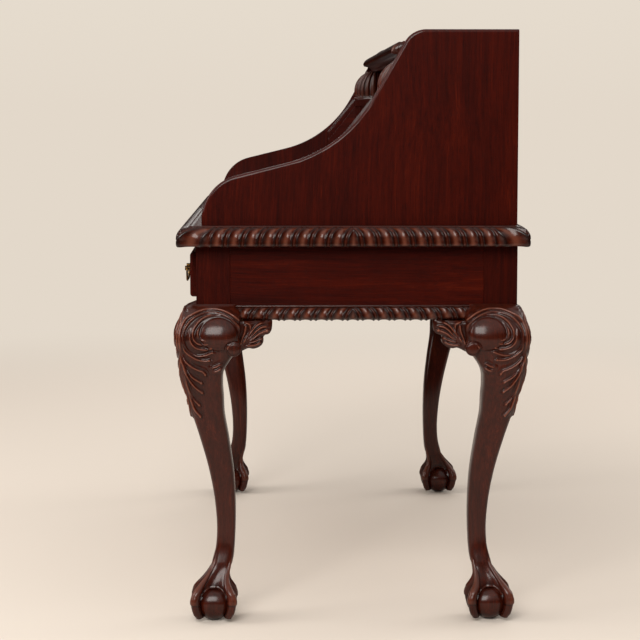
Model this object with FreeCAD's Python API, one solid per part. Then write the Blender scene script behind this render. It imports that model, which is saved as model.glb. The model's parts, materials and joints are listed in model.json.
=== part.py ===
import FreeCAD, Part
import math
import os

os.makedirs("parts", exist_ok=True)

# Carlton house desk: a table on cabriole legs with three drawers in its frieze, and a
# stepped gallery of drawers and pigeonholes between two scooped end panels.
# Millimetres. +Z is up, the front faces -Y, and the origin lies on the floor under the centre.

# Overall sizes
table_width = 1372.0
table_depth = 654.0
table_height = 762.0
gallery_height = 365.4

# Table top, its edge moulding and the leather
top_thickness = 38.0
edge_width = 28.0
edge_top_flat = 8.0
edge_step = 3.0
edge_belly_height = 20.0
edge_tuck = 4.0
leather_thickness = 1.6
leather_border = 24.0
leather_side_margin = 60.0

# Frieze: rails between the posts of the legs
side_overhang = 36.0
front_overhang = 32.0
back_overhang = 16.0
frieze_height = 113.0
post_width = 64.0
rail_thickness = 22.0
top_rail_height = 24.0
bottom_rail_height = 18.5
divider_width = 22.0
centre_opening = 522.0
runner_height = 13.0
runner_width = 42.0
guide_height = 26.0
false_front_thickness = 4.0
false_front_margin = 4.5
false_front_top_gap = 5.0

# Gadrooned apron under the rails, and the carved brackets beside the knees
apron_height = 29.0
apron_thickness = 22.0
apron_bulge = 6.0
apron_fillet = 4.0
apron_tuck = 8.0
bracket_reach = 66.0
bracket_drop = 62.0
bracket_thickness = 26.0
bracket_swell = 18.0
bracket_root = 20.0
bracket_lead = 8.0
bracket_lobe_radius = 8.0

# Cabriole legs
leg_inset = 61.5
leg_throw = 24.0
knee_width = 125.7
foot_height = 116.0
ball_radius = 29.0
ball_flat = 0.8
foot_spread = 43.4
talon_radius = 14.6

# End panels of the gallery
panel_inset = 33.0
panel_thickness = 22.0
panel_depth = 593.9
panel_back_inset = 17.5
panel_nose_radius = 86.0
panel_scoop_radius = 256.0
panel_brow_radius = 46.0
panel_edge_radius = 6.0

# Boards of the gallery
floor_thickness = 10.0
back_thickness = 18.0
tier_height = 238.0
tier_depth = 262.5
shelf_thickness = 15.0
shelf_nosing = 3.0
wing_opening = 177.0
wing_depth = 329.5
wing_front_height = 159.0
wing_top_thickness = 16.0
partition_thickness = 14.0
stack_opening = 228.0
stack_partition = 12.0
dust_board = 8.0
pigeonhole_count = 6
pigeonhole_divider = 6.0
divider_setback = 8.0
valance_height = 24.0
valance_thickness = 6.0
upper_depth = 205.5
pilaster_width = 64.0
pilaster_thickness = 18.0
top_board_thickness = 16.0
top_board_drop = 27.4
cornice_height = 30.0
cornice_projection = 32.0
cornice_lean = 20.0
corbel_width = 52.0
corbel_foot = 56.0
corbel_head = 26.0

# Drawers
lip_thickness = 14.0
lip_overlap = 7.0
lip_edge_radius = 6.0
lip_gap = 0.4
front_tongue = 12.0
drawer_side = 10.0
drawer_bottom = 6.0
drawer_bottom_drop = 8.0
drawer_top_drop = 6.0
drawer_back_gap = 72.0
drawer_clearance = 0.5
small_front = 12.0
small_side = 7.0
small_bottom = 4.0
small_bottom_drop = 5.0
small_top_drop = 8.0
small_back_gap = 12.0

# Bail pulls
plate_width = 96.0
plate_height = 42.0
plate_thickness = 1.6
pull_post_spacing = 64.0
pull_post_radius = 4.5
pull_post_length = 14.0
pull_rise = 2.2
pin_radius = 1.5
pin_clearance = 0.05
bail_radius = 1.9
bail_side_gap = 1.0
bail_shoulder = 5.5
bail_drop = 24.0
bail_corner = 14.0
centre_pull_offset = 150.0

# Turned knobs of the small drawers
knob_radius = 8.0
knob_neck_radius = 3.6
knob_foot_radius = 6.0
knob_foot_height = 2.0
knob_length = 17.0

overrun = 5.0
face_tolerance = 0.05
section_points = 16

# Where the main faces lie
half_x = table_width / 2
half_y = table_depth / 2
frieze_x = half_x - side_overhang
frieze_front = front_overhang - half_y
frieze_back = half_y - back_overhang
frieze_top = table_height - top_thickness
frieze_bottom = frieze_top - frieze_height
post_inner_x = frieze_x - post_width
front_post_back = frieze_front + post_width
back_post_front = frieze_back - post_width
opening_low = frieze_bottom + bottom_rail_height
opening_high = frieze_top - top_rail_height
centre_half = centre_opening / 2
side_opening_inner = centre_half + divider_width
apron_bottom = frieze_bottom - apron_height
panel_x = half_x - panel_inset
inner_x = panel_x - panel_thickness
gallery_back = half_y - panel_back_inset
gallery_inside = gallery_back - back_thickness
floor_top = table_height + floor_thickness
shelf_top = table_height + tier_height
shelf_bottom = shelf_top - shelf_thickness
tier_front = gallery_back - tier_depth
wing_front = gallery_back - wing_depth
wing_inner_x = inner_x - wing_opening
partition_x = wing_inner_x - partition_thickness
stack_inner_x = partition_x - stack_opening
hole_half = stack_inner_x - stack_partition
upper_front = gallery_back - upper_depth
board_top = table_height + gallery_height - top_board_drop
board_bottom = board_top - top_board_thickness
cornice_bottom = board_top - cornice_height
leg_x = half_x - leg_inset
leg_y = half_y - leg_inset


def vec(x, y, z):
    """A point or direction."""
    return FreeCAD.Vector(x, y, z)


def box(x0, x1, y0, y1, z0, z1):
    """A box between two corners."""
    return Part.makeBox(x1 - x0, y1 - y0, z1 - z0, vec(x0, y0, z0))


def fuse(shapes):
    """One solid out of several that meet."""
    return shapes[0].fuse(shapes[1:]).removeSplitter()


def outline_wire(points, radii, place):
    """A closed outline through points, each corner rounded by its radius and placed by place(u, v)."""
    count = len(points)
    starts = []
    middles = []
    ends = []
    for index in range(count):
        before = points[index - 1]
        here = points[index]
        after = points[(index + 1) % count]
        if radii[index] == 0:
            for row in (starts, middles, ends):
                row.append(vec(here[0], here[1], 0))
            continue
        back = vec(before[0] - here[0], before[1] - here[1], 0).normalize()
        ahead = vec(after[0] - here[0], after[1] - here[1], 0).normalize()
        corner = vec(here[0], here[1], 0)
        half_angle = back.getAngle(ahead) / 2
        reach = radii[index] / math.tan(half_angle)
        halfway = (back + ahead).normalize()
        depth = radii[index] / math.sin(half_angle) - radii[index]
        starts.append(corner + back * reach)
        middles.append(corner + halfway * depth)
        ends.append(corner + ahead * reach)
    edges = []
    for index in range(count):
        follower = (index + 1) % count
        if radii[index] > 0:
            three = [starts[index], middles[index], ends[index]]
            edges.append(Part.Arc(*[place(p.x, p.y) for p in three]).toShape())
        edges.append(Part.makeLine(place(ends[index].x, ends[index].y),
                                   place(starts[follower].x, starts[follower].y)))
    return Part.Wire(edges)


def prism(points, radii, place, along):
    """An outline carried straight along a vector."""
    return Part.Face(outline_wire(points, radii, place)).extrude(along)


def side_prism(points, radii, x0, x1):
    """An outline in Y and Z carried from x0 to x1."""
    return prism(points, radii, lambda u, v: vec(x0, u, v), vec(x1 - x0, 0, 0))


def plan_prism(points, z0, z1):
    """A sharp outline in X and Y carried from z0 to z1."""
    return prism(points, [0] * len(points), lambda u, v: vec(u, v, z0), vec(0, 0, z1 - z0))


def mirror_x(shape):
    """The same piece on the other side of the desk."""
    return shape.mirror(vec(0, 0, 0), vec(1, 0, 0))


def mirror_y(shape):
    """The same piece at the other end of the desk's depth."""
    return shape.mirror(vec(0, 0, 0), vec(0, 1, 0))


def both_sides(shape):
    """A piece and its mirror image."""
    return [shape, mirror_x(shape)]


def save(name, solids):
    """Writes one node as a solid or a group of separate solids."""
    shape = solids[0] if len(solids) == 1 else Part.makeCompound(solids)
    shape.exportStep("parts/" + name + ".step")
    print(name, len(shape.Solids), round(shape.Volume))


def soft_square(centre_x, centre_y, width, corner, z):
    """A level square with soft corners: corner 0.5 makes a circle, smaller values a squarer form."""
    power = 1 / (1 + 3 * (1 - 2 * corner))
    points = []
    for step in range(section_points):
        turn = 2 * math.pi * step / section_points
        across = math.copysign(abs(math.cos(turn)) ** power, math.cos(turn))
        along = math.copysign(abs(math.sin(turn)) ** power, math.sin(turn))
        points.append(vec(centre_x + across * width / 2, centre_y + along * width / 2, z))
    curve = Part.BSplineCurve()
    curve.interpolate(Points=points, PeriodicFlag=True)
    return Part.Wire([curve.toShape()])


# Each station of the leg: its height as a share of the leg, how far its middle is thrown outward
# as a share of the throw, its width as a share of the knee, and its corner as a share of its width.
# The last one stands above the frieze's lower edge, where the form is trimmed level. Stations under
# the ankle's share follow the height of the foot, and the others share what is left of the leg.
ankle_share = 0.19
leg_station_shares = [
    (0.085, 0.00, 0.32, 0.45), (0.130, -0.25, 0.35, 0.45), (0.184, -0.59, 0.30, 0.46),
    (0.223, -0.84, 0.264, 0.46), (0.261, -0.95, 0.259, 0.44), (0.361, -0.93, 0.283, 0.40),
    (0.473, -0.62, 0.342, 0.36), (0.584, -0.05, 0.404, 0.32), (0.670, 0.45, 0.457, 0.30),
    (0.714, 0.65, 0.507, 0.29), (0.756, 0.81, 0.575, 0.28), (0.797, 0.82, 0.667, 0.27),
    (0.830, 0.60, 0.79, 0.26), (0.860, 0.42, 0.90, 0.25), (0.885, 0.38, 0.967, 0.24),
    (0.910, 0.33, 1.00, 0.24), (0.948, 0.20, 0.93, 0.22), (0.983, 0.02, 0.81, 0.18),
    (1.000, 0.00, 0.57, 0.12), (1.030, 0.00, 0.57, 0.12)]

# Each station of a talon: height as a share of the ankle, distance from the foot's middle as a
# share of the spread, its radius as a share of the talon, and its lean towards the ankle.
talon_station_shares = [
    (0.00, 0.66, 0.40, 0.00), (0.07, 0.75, 0.58, 0.00), (0.16, 0.88, 0.76, 0.00),
    (0.28, 0.97, 0.92, 0.00), (0.41, 1.00, 0.96, 0.00), (0.52, 0.93, 0.96, -0.04),
    (0.65, 0.80, 0.88, -0.14), (0.78, 0.61, 0.80, -0.28), (0.89, 0.40, 0.76, -0.48),
    (1.00, 0.26, 0.72, -0.62)]


def leg_level(share):
    """Height of a station of the leg."""
    if share < ankle_share:
        return foot_height * share / ankle_share
    return foot_height + (frieze_bottom - foot_height) * (share - ankle_share) / (1 - ankle_share)


def shaft_form():
    """The leg's shaft and knee, thrown outward along +X and +Y, and left long at the top."""
    wires = []
    for height, throw, width, corner in leg_station_shares:
        shift = throw * leg_throw
        across = width * knee_width
        wires.append(soft_square(leg_x + shift, leg_y + shift, across, corner, leg_level(height)))
    return Part.makeLoft(wires, True)


def cabriole(shaft):
    """The leg from the floor to the frieze: the trimmed shaft, the ball and its four talons."""
    keep = box(leg_x - knee_width, leg_x + knee_width, leg_y - knee_width, leg_y + knee_width,
               0, frieze_bottom)
    ball = Part.makeSphere(ball_radius, vec(leg_x, leg_y, ball_radius - ball_flat))
    talons = []
    for quarter in range(4):
        turn = math.pi / 4 + quarter * math.pi / 2
        rings = []
        for height, spread, radius, lean in talon_station_shares:
            out = spread * foot_spread
            shift = lean * leg_throw
            centre = vec(leg_x + shift + out * math.cos(turn), leg_y + shift + out * math.sin(turn),
                         height * foot_height)
            rings.append(Part.Wire(Part.makeCircle(radius * talon_radius, centre, vec(0, 0, 1))))
        talons.append(Part.makeLoft(rings, True))
    return shaft.fuse([ball] + talons).common(keep)


def four_corners(shape):
    """A piece of the back right corner, repeated at the other three."""
    return {"front_right": mirror_y(shape), "front_left": mirror_x(mirror_y(shape)),
            "back_right": shape, "back_left": mirror_x(shape)}


def legs(shaft):
    """Each leg is one piece of wood: post, knee, shaft and ball and claw foot."""
    for place, form in four_corners(cabriole(shaft)).items():
        near = (frieze_front, front_post_back) if "front" in place else (back_post_front, frieze_back)
        post = box(post_inner_x, frieze_x, near[0], near[1], frieze_bottom, frieze_top)
        if "left" in place:
            post = mirror_x(post)
        save("leg_" + place, [fuse([post, form])])


def frame():
    """Side, back and front rails between the posts, with the two dividers of the front."""
    side = box(frieze_x - rail_thickness, frieze_x, front_post_back, back_post_front,
               frieze_bottom, frieze_top)
    save("side_rails", both_sides(side))
    back = box(-post_inner_x, post_inner_x, frieze_back - rail_thickness, frieze_back,
               frieze_bottom, frieze_top)
    save("back_rail", [back])
    rail_back = frieze_front + rail_thickness
    top = box(-post_inner_x, post_inner_x, frieze_front, rail_back, opening_high, frieze_top)
    bottom = box(-post_inner_x, post_inner_x, frieze_front, rail_back, frieze_bottom, opening_low)
    divider = box(centre_half, side_opening_inner, frieze_front, rail_back, opening_low, opening_high)
    save("front_rails", [top, bottom] + both_sides(divider))
    panels = []
    for low, high in opening_spans():
        panel = box(low - false_front_margin, high + false_front_margin, frieze_back,
                    frieze_back + false_front_thickness, opening_low - false_front_margin,
                    frieze_top - false_front_top_gap)
        panels.append(panel)
    save("back_false_fronts", panels)


def opening_spans():
    """The three drawer openings of the frieze, left to right."""
    return [(-post_inner_x, -side_opening_inner), (-centre_half, centre_half),
            (side_opening_inner, post_inner_x)]


def runners():
    """Boards that the drawers slide on, each with a guide that keeps them straight."""
    y0 = frieze_front + rail_thickness
    y1 = frieze_back - rail_thickness
    low = opening_low - runner_height
    middle = (centre_half + side_opening_inner) / 2
    inner_board = box(middle - runner_width / 2, middle + runner_width / 2, y0, y1, low, opening_low)
    inner_guide = box(centre_half, side_opening_inner, y0, y1, opening_low,
                      opening_low + guide_height)
    outer_board = box(post_inner_x - runner_width / 2, frieze_x - rail_thickness,
                      front_post_back, back_post_front, low, opening_low)
    outer_tail = box(post_inner_x - runner_width / 2, post_inner_x, y0, y1, low, opening_low)
    outer_guide = box(post_inner_x, frieze_x - rail_thickness, front_post_back, back_post_front,
                      opening_low, opening_low + guide_height)
    inner = fuse([inner_board, inner_guide])
    outer = fuse([outer_board, outer_tail, outer_guide])
    save("drawer_runners", both_sides(inner) + both_sides(outer))


def apron_section(face):
    """The apron's section across its run: (outward, height) points and corner radii."""
    low = apron_bottom
    high = frieze_bottom
    points = [(face - apron_thickness, high), (face, high), (face, high - apron_fillet),
              (face + apron_bulge, high - apron_fillet), (face + apron_bulge, low + apron_tuck),
              (face - apron_tuck, low), (face - apron_thickness, low)]
    belly = apron_bulge - apron_fillet / 2
    return points, [0, 0, 0, belly, belly, 0, 0]


def scribe(pieces, shafts):
    """Each piece cut back to the shafts that it meets."""
    scribed = []
    for piece in pieces:
        for shaft in shafts:
            if piece.BoundBox.intersect(shaft.BoundBox):
                piece = max(piece.cut(shaft).Solids, key=lambda solid: solid.Volume)
        scribed.append(piece)
    return scribed


def aprons(shafts):
    """A gadrooned moulding under each rail, its ends scribed to the knees."""
    pieces = []
    side_points, radii = apron_section(frieze_x)
    side = prism(side_points, radii, lambda u, v: vec(u, -leg_y, v), vec(0, leg_y * 2, 0))
    pieces.extend(both_sides(side))
    front_points, radii = apron_section(-frieze_front)
    pieces.append(prism(front_points, radii, lambda u, v: vec(-leg_x, -u, v), vec(leg_x * 2, 0, 0)))
    back_points, radii = apron_section(frieze_back)
    pieces.append(prism(back_points, radii, lambda u, v: vec(-leg_x, u, v), vec(leg_x * 2, 0, 0)))
    save("apron_mouldings", scribe(pieces, shafts))


# The bracket's lower edge: distance from the knee and drop, as shares of its reach and drop.
bracket_outline_shares = [(1.00, 0.00), (0.95, 0.36), (0.80, 0.50), (0.73, 0.72), (0.50, 0.90),
                          (0.12, 1.00)]


def bracket(face, leg_axis, place):
    """One carved bracket: face is the rail's face, leg_axis the leg's place along the rail."""
    knee_edge = leg_axis - knee_width / 2 + bracket_lead
    points = [(knee_edge + bracket_root, apron_bottom)]
    for reach, drop in bracket_outline_shares:
        points.append((knee_edge - reach * bracket_reach, apron_bottom - drop * bracket_drop))
    points.append((knee_edge + bracket_root, apron_bottom - bracket_drop))
    inside = face + apron_bulge - bracket_thickness
    radii = [0, 0, bracket_lobe_radius, 0, bracket_lobe_radius, 0, 0, 0]
    flat = prism(points, radii, lambda u, v: place(u, inside, v),
                 place(0, bracket_thickness + bracket_swell, 0) - place(0, 0, 0))
    wedge = [(knee_edge + bracket_root, inside), (knee_edge - bracket_reach, inside),
             (knee_edge - bracket_reach, face + apron_bulge),
             (knee_edge, face + bracket_swell), (knee_edge + bracket_root, face + bracket_swell)]
    low = apron_bottom - bracket_drop - overrun
    plan = prism(wedge, [0] * len(wedge), lambda u, v: place(u, v, low),
                 vec(0, 0, apron_bottom - low))
    return flat.common(plan)


def brackets(shafts):
    """Eight carved brackets, two beside each knee, scribed to the legs."""
    on_side = bracket(frieze_x, leg_y, lambda u, v, z: vec(v, u, z))
    on_front = bracket(-frieze_front, leg_x, lambda u, v, z: vec(u, -v, z))
    on_back = bracket(frieze_back, leg_x, lambda u, v, z: vec(u, v, z))
    pieces = both_sides(on_side) + both_sides(mirror_y(on_side))
    pieces += both_sides(on_front) + both_sides(on_back)
    save("knee_brackets", scribe(pieces, shafts))


def table_top():
    """The top board with a shallow recess for the leather, and its mitred edge moulding."""
    board_x = half_x - edge_width
    board_y = half_y - edge_width
    board = box(-board_x, board_x, -board_y, board_y, frieze_top, table_height)
    leather_x = wing_inner_x - leather_side_margin
    leather = box(-leather_x, leather_x, leather_border - board_y, tier_front - leather_border,
                  table_height - leather_thickness, table_height)
    save("table_top", [board.cut(leather)])
    save("writing_leather", [leather])
    low = frieze_top
    high = table_height
    section = [(0, low), (edge_width - edge_tuck, low), (edge_width, low + edge_tuck),
               (edge_width, high - edge_step), (edge_top_flat, high - edge_step),
               (edge_top_flat, high), (0, high)]
    radii = [0, 0, edge_tuck / 3, edge_belly_height - edge_step, 0, 0, 0]
    side = prism(section, radii, lambda u, v: vec(board_x + u, -half_y, v), vec(0, table_depth, 0))
    side_plan = [(board_x, -board_y), (half_x, -half_y), (half_x, half_y), (board_x, board_y)]
    side = side.common(plan_prism(side_plan, low, high))
    end = prism(section, radii, lambda u, v: vec(-half_x, board_y + u, v), vec(table_width, 0, 0))
    end_plan = [(-board_x, board_y), (board_x, board_y), (half_x, half_y), (-half_x, half_y)]
    end = end.common(plan_prism(end_plan, low, high))
    save("table_edge_mouldings", both_sides(side) + [end, mirror_y(end)])


# Corners of the end panel before rounding: depth from the front and height, as shares.
panel_corner_shares = [(0.0, 0.0), (0.0, 0.2113), (0.4516, 0.3925), (0.6634, 1.0), (1.0, 1.0),
                       (1.0, 0.0)]


def end_panels():
    """The two scooped end panels, rounded over along the outer edge of the scoop."""
    front = gallery_back - panel_depth
    points = [(front + depth * panel_depth, table_height + height * gallery_height)
              for depth, height in panel_corner_shares]
    radii = [0, panel_nose_radius, panel_scoop_radius, panel_brow_radius, 0, 0]
    panel = side_prism(points, radii, inner_x, panel_x)
    rim = []
    for edge in panel.Edges:
        centre = edge.BoundBox.Center
        on_face = edge.BoundBox.XMin > panel_x - face_tolerance
        on_rim = centre.z > table_height + face_tolerance and centre.y < gallery_back - face_tolerance
        if on_face and on_rim:
            rim.append(edge)
    rounded = panel.makeFillet(panel_edge_radius, rim)
    save("gallery_side_right", [rounded])
    save("gallery_side_left", [mirror_x(rounded)])


def gallery_boards():
    """Floor, back, shelf and top of the gallery."""
    middle = box(-partition_x, partition_x, tier_front, gallery_inside, table_height, floor_top)
    wing = box(partition_x, inner_x, wing_front, gallery_inside, table_height, floor_top)
    save("gallery_floor", [fuse([middle] + both_sides(wing))])
    save("gallery_back", [box(-inner_x, inner_x, gallery_inside, gallery_back, table_height, board_top)])
    shelf = box(-inner_x, inner_x, tier_front - shelf_nosing, gallery_inside, shelf_bottom, shelf_top)
    save("gallery_shelf", [shelf])
    top = box(-inner_x, inner_x, upper_front + pilaster_thickness, gallery_inside,
              board_bottom, board_top)
    save("gallery_top", [top])


def wings():
    """Partitions beside the wings and the sloping tops over them."""
    shelf_edge = tier_front - shelf_nosing
    front_low = table_height + wing_front_height - wing_top_thickness
    front_high = table_height + wing_front_height
    slab = [(wing_front, front_low), (wing_front, front_high), (shelf_edge, shelf_top),
            (shelf_edge, shelf_bottom)]
    save("wing_tops", both_sides(side_prism(slab, [0] * len(slab), partition_x, inner_x)))
    wall = [(wing_front, floor_top), (wing_front, front_low), (shelf_edge, shelf_bottom),
            (gallery_inside, shelf_bottom), (gallery_inside, floor_top)]
    wing_wall = side_prism(wall, [0] * len(wall), partition_x, wing_inner_x)
    stack_wall = box(hole_half, stack_inner_x, tier_front, gallery_inside, floor_top, shelf_bottom)
    middle = (floor_top + shelf_bottom) / 2
    dust = box(stack_inner_x, partition_x, tier_front, gallery_inside,
               middle - dust_board / 2, middle + dust_board / 2)
    save("tier_partitions", both_sides(wing_wall) + both_sides(stack_wall) + both_sides(dust))


def pigeonholes():
    """Thin dividers behind an arched valance board."""
    clear_width = hole_half * 2 - pigeonhole_divider * (pigeonhole_count - 1)
    hole_width = clear_width / pigeonhole_count
    pitch = hole_width + pigeonhole_divider
    pieces = []
    for number in range(1, pigeonhole_count):
        x0 = number * pitch - hole_half - pigeonhole_divider
        pieces.append(box(x0, x0 + pigeonhole_divider, tier_front + divider_setback, gallery_inside,
                          floor_top, shelf_bottom))
    valance_back = tier_front + divider_setback
    valance = box(-hole_half, hole_half, valance_back - valance_thickness, valance_back,
                  shelf_bottom - valance_height, shelf_bottom)
    arch_rise = valance_height * 2 / 3
    arch_half = (hole_width - pigeonhole_divider) / 2
    arch_radius = (arch_half ** 2 + arch_rise ** 2) / (arch_rise * 2)
    for number in range(pigeonhole_count):
        middle = number * pitch + hole_width / 2 - hole_half
        arch = Part.makeCylinder(arch_radius, valance_thickness + overrun * 2,
                                 vec(middle, valance_back - valance_thickness - overrun,
                                     shelf_bottom - valance_height + arch_rise - arch_radius),
                                 vec(0, 1, 0))
        valance = valance.cut(arch)
    pieces.append(valance)
    save("pigeonhole_dividers", pieces)


def upper_tier():
    """A pilaster at each end of the open upper tier, a corbel before it, the cornice above."""
    half = pilaster_width / 2
    pilaster_back = upper_front + pilaster_thickness
    end = box(inner_x - pilaster_width, inner_x, upper_front, pilaster_back, shelf_top, cornice_bottom)
    save("upper_pilasters", both_sides(end))
    rise = cornice_bottom - shelf_top
    front = upper_front
    corbel_points = [(front, shelf_top), (front - corbel_foot, shelf_top),
                     (front - corbel_foot, shelf_top + rise * 2 / 3), (front - corbel_head, cornice_bottom),
                     (front, cornice_bottom)]
    radii = [0, corbel_foot / 10, corbel_head, 0, 0]
    middle = inner_x - half
    corbel = side_prism(corbel_points, radii, middle - corbel_width / 2, middle + corbel_width / 2)
    save("corbels", both_sides(corbel))
    moulding = [(pilaster_back, cornice_bottom), (front - cornice_projection, cornice_bottom),
                (front - cornice_projection, cornice_bottom + cornice_height / 4),
                (front + cornice_lean - cornice_projection, board_top), (pilaster_back, board_top)]
    radii = [0, cornice_height / 8, cornice_height / 5, 0, 0]
    save("cornice_moulding", [side_prism(moulding, radii, -inner_x, inner_x)])


def front_face():
    """The outer face of the frieze drawers."""
    return frieze_front - lip_gap - lip_thickness


def frieze_drawer(name, low, high, pull_centres):
    """A lipped front, a box of two sides and a back, a bottom, and bail pulls."""
    face = front_face()
    lip = box(low - lip_overlap, high + lip_overlap, face, face + lip_thickness,
              opening_low - lip_overlap, opening_high + lip_overlap)
    rim = [edge for edge in lip.Edges if edge.BoundBox.YMax < face + face_tolerance]
    lip = lip.makeFillet(lip_edge_radius, rim)
    x0 = low + drawer_clearance
    x1 = high - drawer_clearance
    z0 = opening_low + drawer_clearance
    z1 = opening_high - drawer_clearance
    tongue_back = frieze_front + front_tongue
    tongue = box(x0, x1, face + lip_thickness, tongue_back, z0, z1)
    save(name + "_front", [fuse([lip, tongue])])
    side_high = z1 - drawer_top_drop
    y1 = frieze_back - rail_thickness - drawer_back_gap
    bottom_low = z0 + drawer_bottom_drop
    bottom_high = bottom_low + drawer_bottom
    sides = [box(x0, x0 + drawer_side, tongue_back, y1, z0, side_high),
             box(x1 - drawer_side, x1, tongue_back, y1, z0, side_high)]
    back = box(x0 + drawer_side, x1 - drawer_side, y1 - drawer_side, y1, bottom_high, side_high)
    save(name + "_box", sides + [back])
    save(name + "_bottom", [box(x0 + drawer_side, x1 - drawer_side, tongue_back, y1,
                                bottom_low, bottom_high)])
    centre = (low + high) / 2
    plates = [pull_plate(centre + offset) for offset in pull_centres]
    save(name + "_pull_plate", plates)


def pull_height():
    """Height of the bail's pins."""
    return (opening_low + opening_high) / 2 + pull_rise


def pin_line():
    """Depth of the bail's pins."""
    return front_face() - plate_thickness - pull_post_length + pull_post_radius


# The pull plate's outline: places across and up, as shares of half its width and half its height.
plate_outline_shares = [(-1.0, 0.0), (-0.75, -0.667), (-0.333, -0.75), (0.0, -1.0), (0.333, -0.75),
                        (0.75, -0.667), (1.0, 0.0), (0.75, 1.0), (0.333, 0.75), (0.0, 1.0),
                        (-0.333, 0.75), (-0.75, 1.0)]


def pull_plate(x):
    """A waisted back plate with two posts, bored across for the bail's pins."""
    z = pull_height() - pull_rise
    face = front_face()
    half = plate_width / 2
    tall = plate_height / 2
    points = [(x + across * half, z + up * tall) for across, up in plate_outline_shares]
    small = plate_height / 12
    plate = prism(points, [small] * len(points), lambda u, v: vec(u, face, v),
                  vec(0, -plate_thickness, 0))
    shapes = [plate]
    for sign in (-1, 1):
        foot = vec(x + sign * pull_post_spacing / 2, face - plate_thickness, pull_height())
        shapes.append(Part.makeCylinder(pull_post_radius, pull_post_length, foot, vec(0, -1, 0)))
    bore = Part.makeCylinder(pin_radius + pin_clearance, plate_width,
                             vec(x - half, pin_line(), pull_height()), vec(1, 0, 0))
    return fuse(shapes).cut(bore)


def bail(name, x):
    """A swinging handle: a bent rod whose thinner ends turn in the posts."""
    z = pull_height()
    y = pin_line()
    shoulder = pull_post_spacing / 2 + pull_post_radius + bail_side_gap
    wide = shoulder + bail_shoulder
    low = z - bail_drop
    bend = bail_shoulder - bail_side_gap
    turn = math.cos(math.pi / 4)
    points = []
    for sign in (-1, 1):
        corner = vec(x + sign * (wide - bend), y, z - bend)
        elbow = vec(x + sign * (wide - bail_corner), y, low + bail_corner)
        points.append([vec(x + sign * shoulder, y, z), vec(x + sign * (wide - bend), y, z),
                       corner + vec(sign * bend * turn, 0, bend * turn),
                       vec(x + sign * wide, y, z - bend), vec(x + sign * wide, y, low + bail_corner),
                       elbow + vec(sign * bail_corner * turn, 0, -bail_corner * turn),
                       vec(x + sign * (wide - bail_corner), y, low)])
    left = points[0]
    right = points[1]
    edges = [Part.makeLine(left[0], left[1]), Part.Arc(left[1], left[2], left[3]).toShape(),
             Part.makeLine(left[3], left[4]), Part.Arc(left[4], left[5], left[6]).toShape(),
             Part.makeLine(left[6], right[6]), Part.Arc(right[6], right[5], right[4]).toShape(),
             Part.makeLine(right[4], right[3]), Part.Arc(right[3], right[2], right[1]).toShape(),
             Part.makeLine(right[1], right[0])]
    ring = Part.Wire(Part.makeCircle(bail_radius, left[0], vec(1, 0, 0)))
    rod = Part.Wire(edges).makePipeShell([ring], True, False)
    pin_length = pull_post_radius * 2 + bail_side_gap
    pins = [Part.makeCylinder(pin_radius, pin_length, left[0], vec(1, 0, 0)),
            Part.makeCylinder(pin_radius, pin_length, right[0], vec(-1, 0, 0))]
    save(name, [fuse([rod] + pins)])


def frieze_drawers():
    """Three drawers: two pulls on the wide one, one on each of the others."""
    left, centre, right = opening_spans()
    frieze_drawer("drawer_left", left[0], left[1], [0])
    frieze_drawer("drawer_centre", centre[0], centre[1], [-centre_pull_offset, centre_pull_offset])
    frieze_drawer("drawer_right", right[0], right[1], [0])
    bail("bail_left", (left[0] + left[1]) / 2)
    bail("bail_right", (right[0] + right[1]) / 2)
    bail("bail_centre_left", -centre_pull_offset)
    bail("bail_centre_right", centre_pull_offset)


def knob(x, y, z):
    """A turned knob: foot, neck and rounded head, standing out along -Y."""
    neck_end = knob_length - knob_radius
    points = [(0, 0), (knob_foot_radius, 0), (knob_foot_radius, knob_foot_height),
              (knob_neck_radius, knob_foot_height), (knob_neck_radius, neck_end),
              (knob_radius, neck_end), (knob_radius, knob_length), (0, knob_length)]
    radii = [0, 0, knob_foot_height / 2, 0, knob_foot_height, knob_foot_height, knob_radius / 2, 0]
    wire = outline_wire(points, radii, lambda u, v: vec(x + u, y - v, z))
    return Part.Face(wire).revolve(vec(x, y, z), vec(0, 1, 0), 360)


def small_drawer(name, low, high, face, floor_z, roof_z):
    """An inset drawer of the gallery: front, box with its bottom, and knob."""
    x0 = low + drawer_clearance
    x1 = high - drawer_clearance
    z0 = floor_z + drawer_clearance
    z1 = roof_z - drawer_clearance
    front_back = face + small_front
    save(name + "_front", [box(x0, x1, face, front_back, z0, z1)])
    y1 = gallery_inside - small_back_gap
    side_high = z1 - small_top_drop
    bottom_low = z0 + small_bottom_drop
    bottom_high = bottom_low + small_bottom
    pieces = [box(x0, x0 + small_side, front_back, y1, z0, side_high),
              box(x1 - small_side, x1, front_back, y1, z0, side_high),
              box(x0 + small_side, x1 - small_side, y1 - small_side, y1, bottom_high, side_high),
              box(x0 + small_side, x1 - small_side, front_back, y1, bottom_low, bottom_high)]
    save(name + "_box", pieces)
    save(name + "_knob", [knob((low + high) / 2, face, (floor_z + roof_z) / 2)])


def small_drawers():
    """Two drawers in each stack beside the pigeonholes, and one in each wing."""
    middle = (floor_top + shelf_bottom) / 2
    wing_roof = table_height + wing_front_height - wing_top_thickness
    for side, sign in (("left", -1), ("right", 1)):
        stack = sorted([sign * stack_inner_x, sign * partition_x])
        small_drawer("tier_drawer_lower_" + side, stack[0], stack[1], tier_front,
                     floor_top, middle - dust_board / 2)
        small_drawer("tier_drawer_upper_" + side, stack[0], stack[1], tier_front,
                     middle + dust_board / 2, shelf_bottom)
        wing = sorted([sign * wing_inner_x, sign * inner_x])
        small_drawer("wing_drawer_" + side, wing[0], wing[1], wing_front, floor_top, wing_roof)


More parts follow.
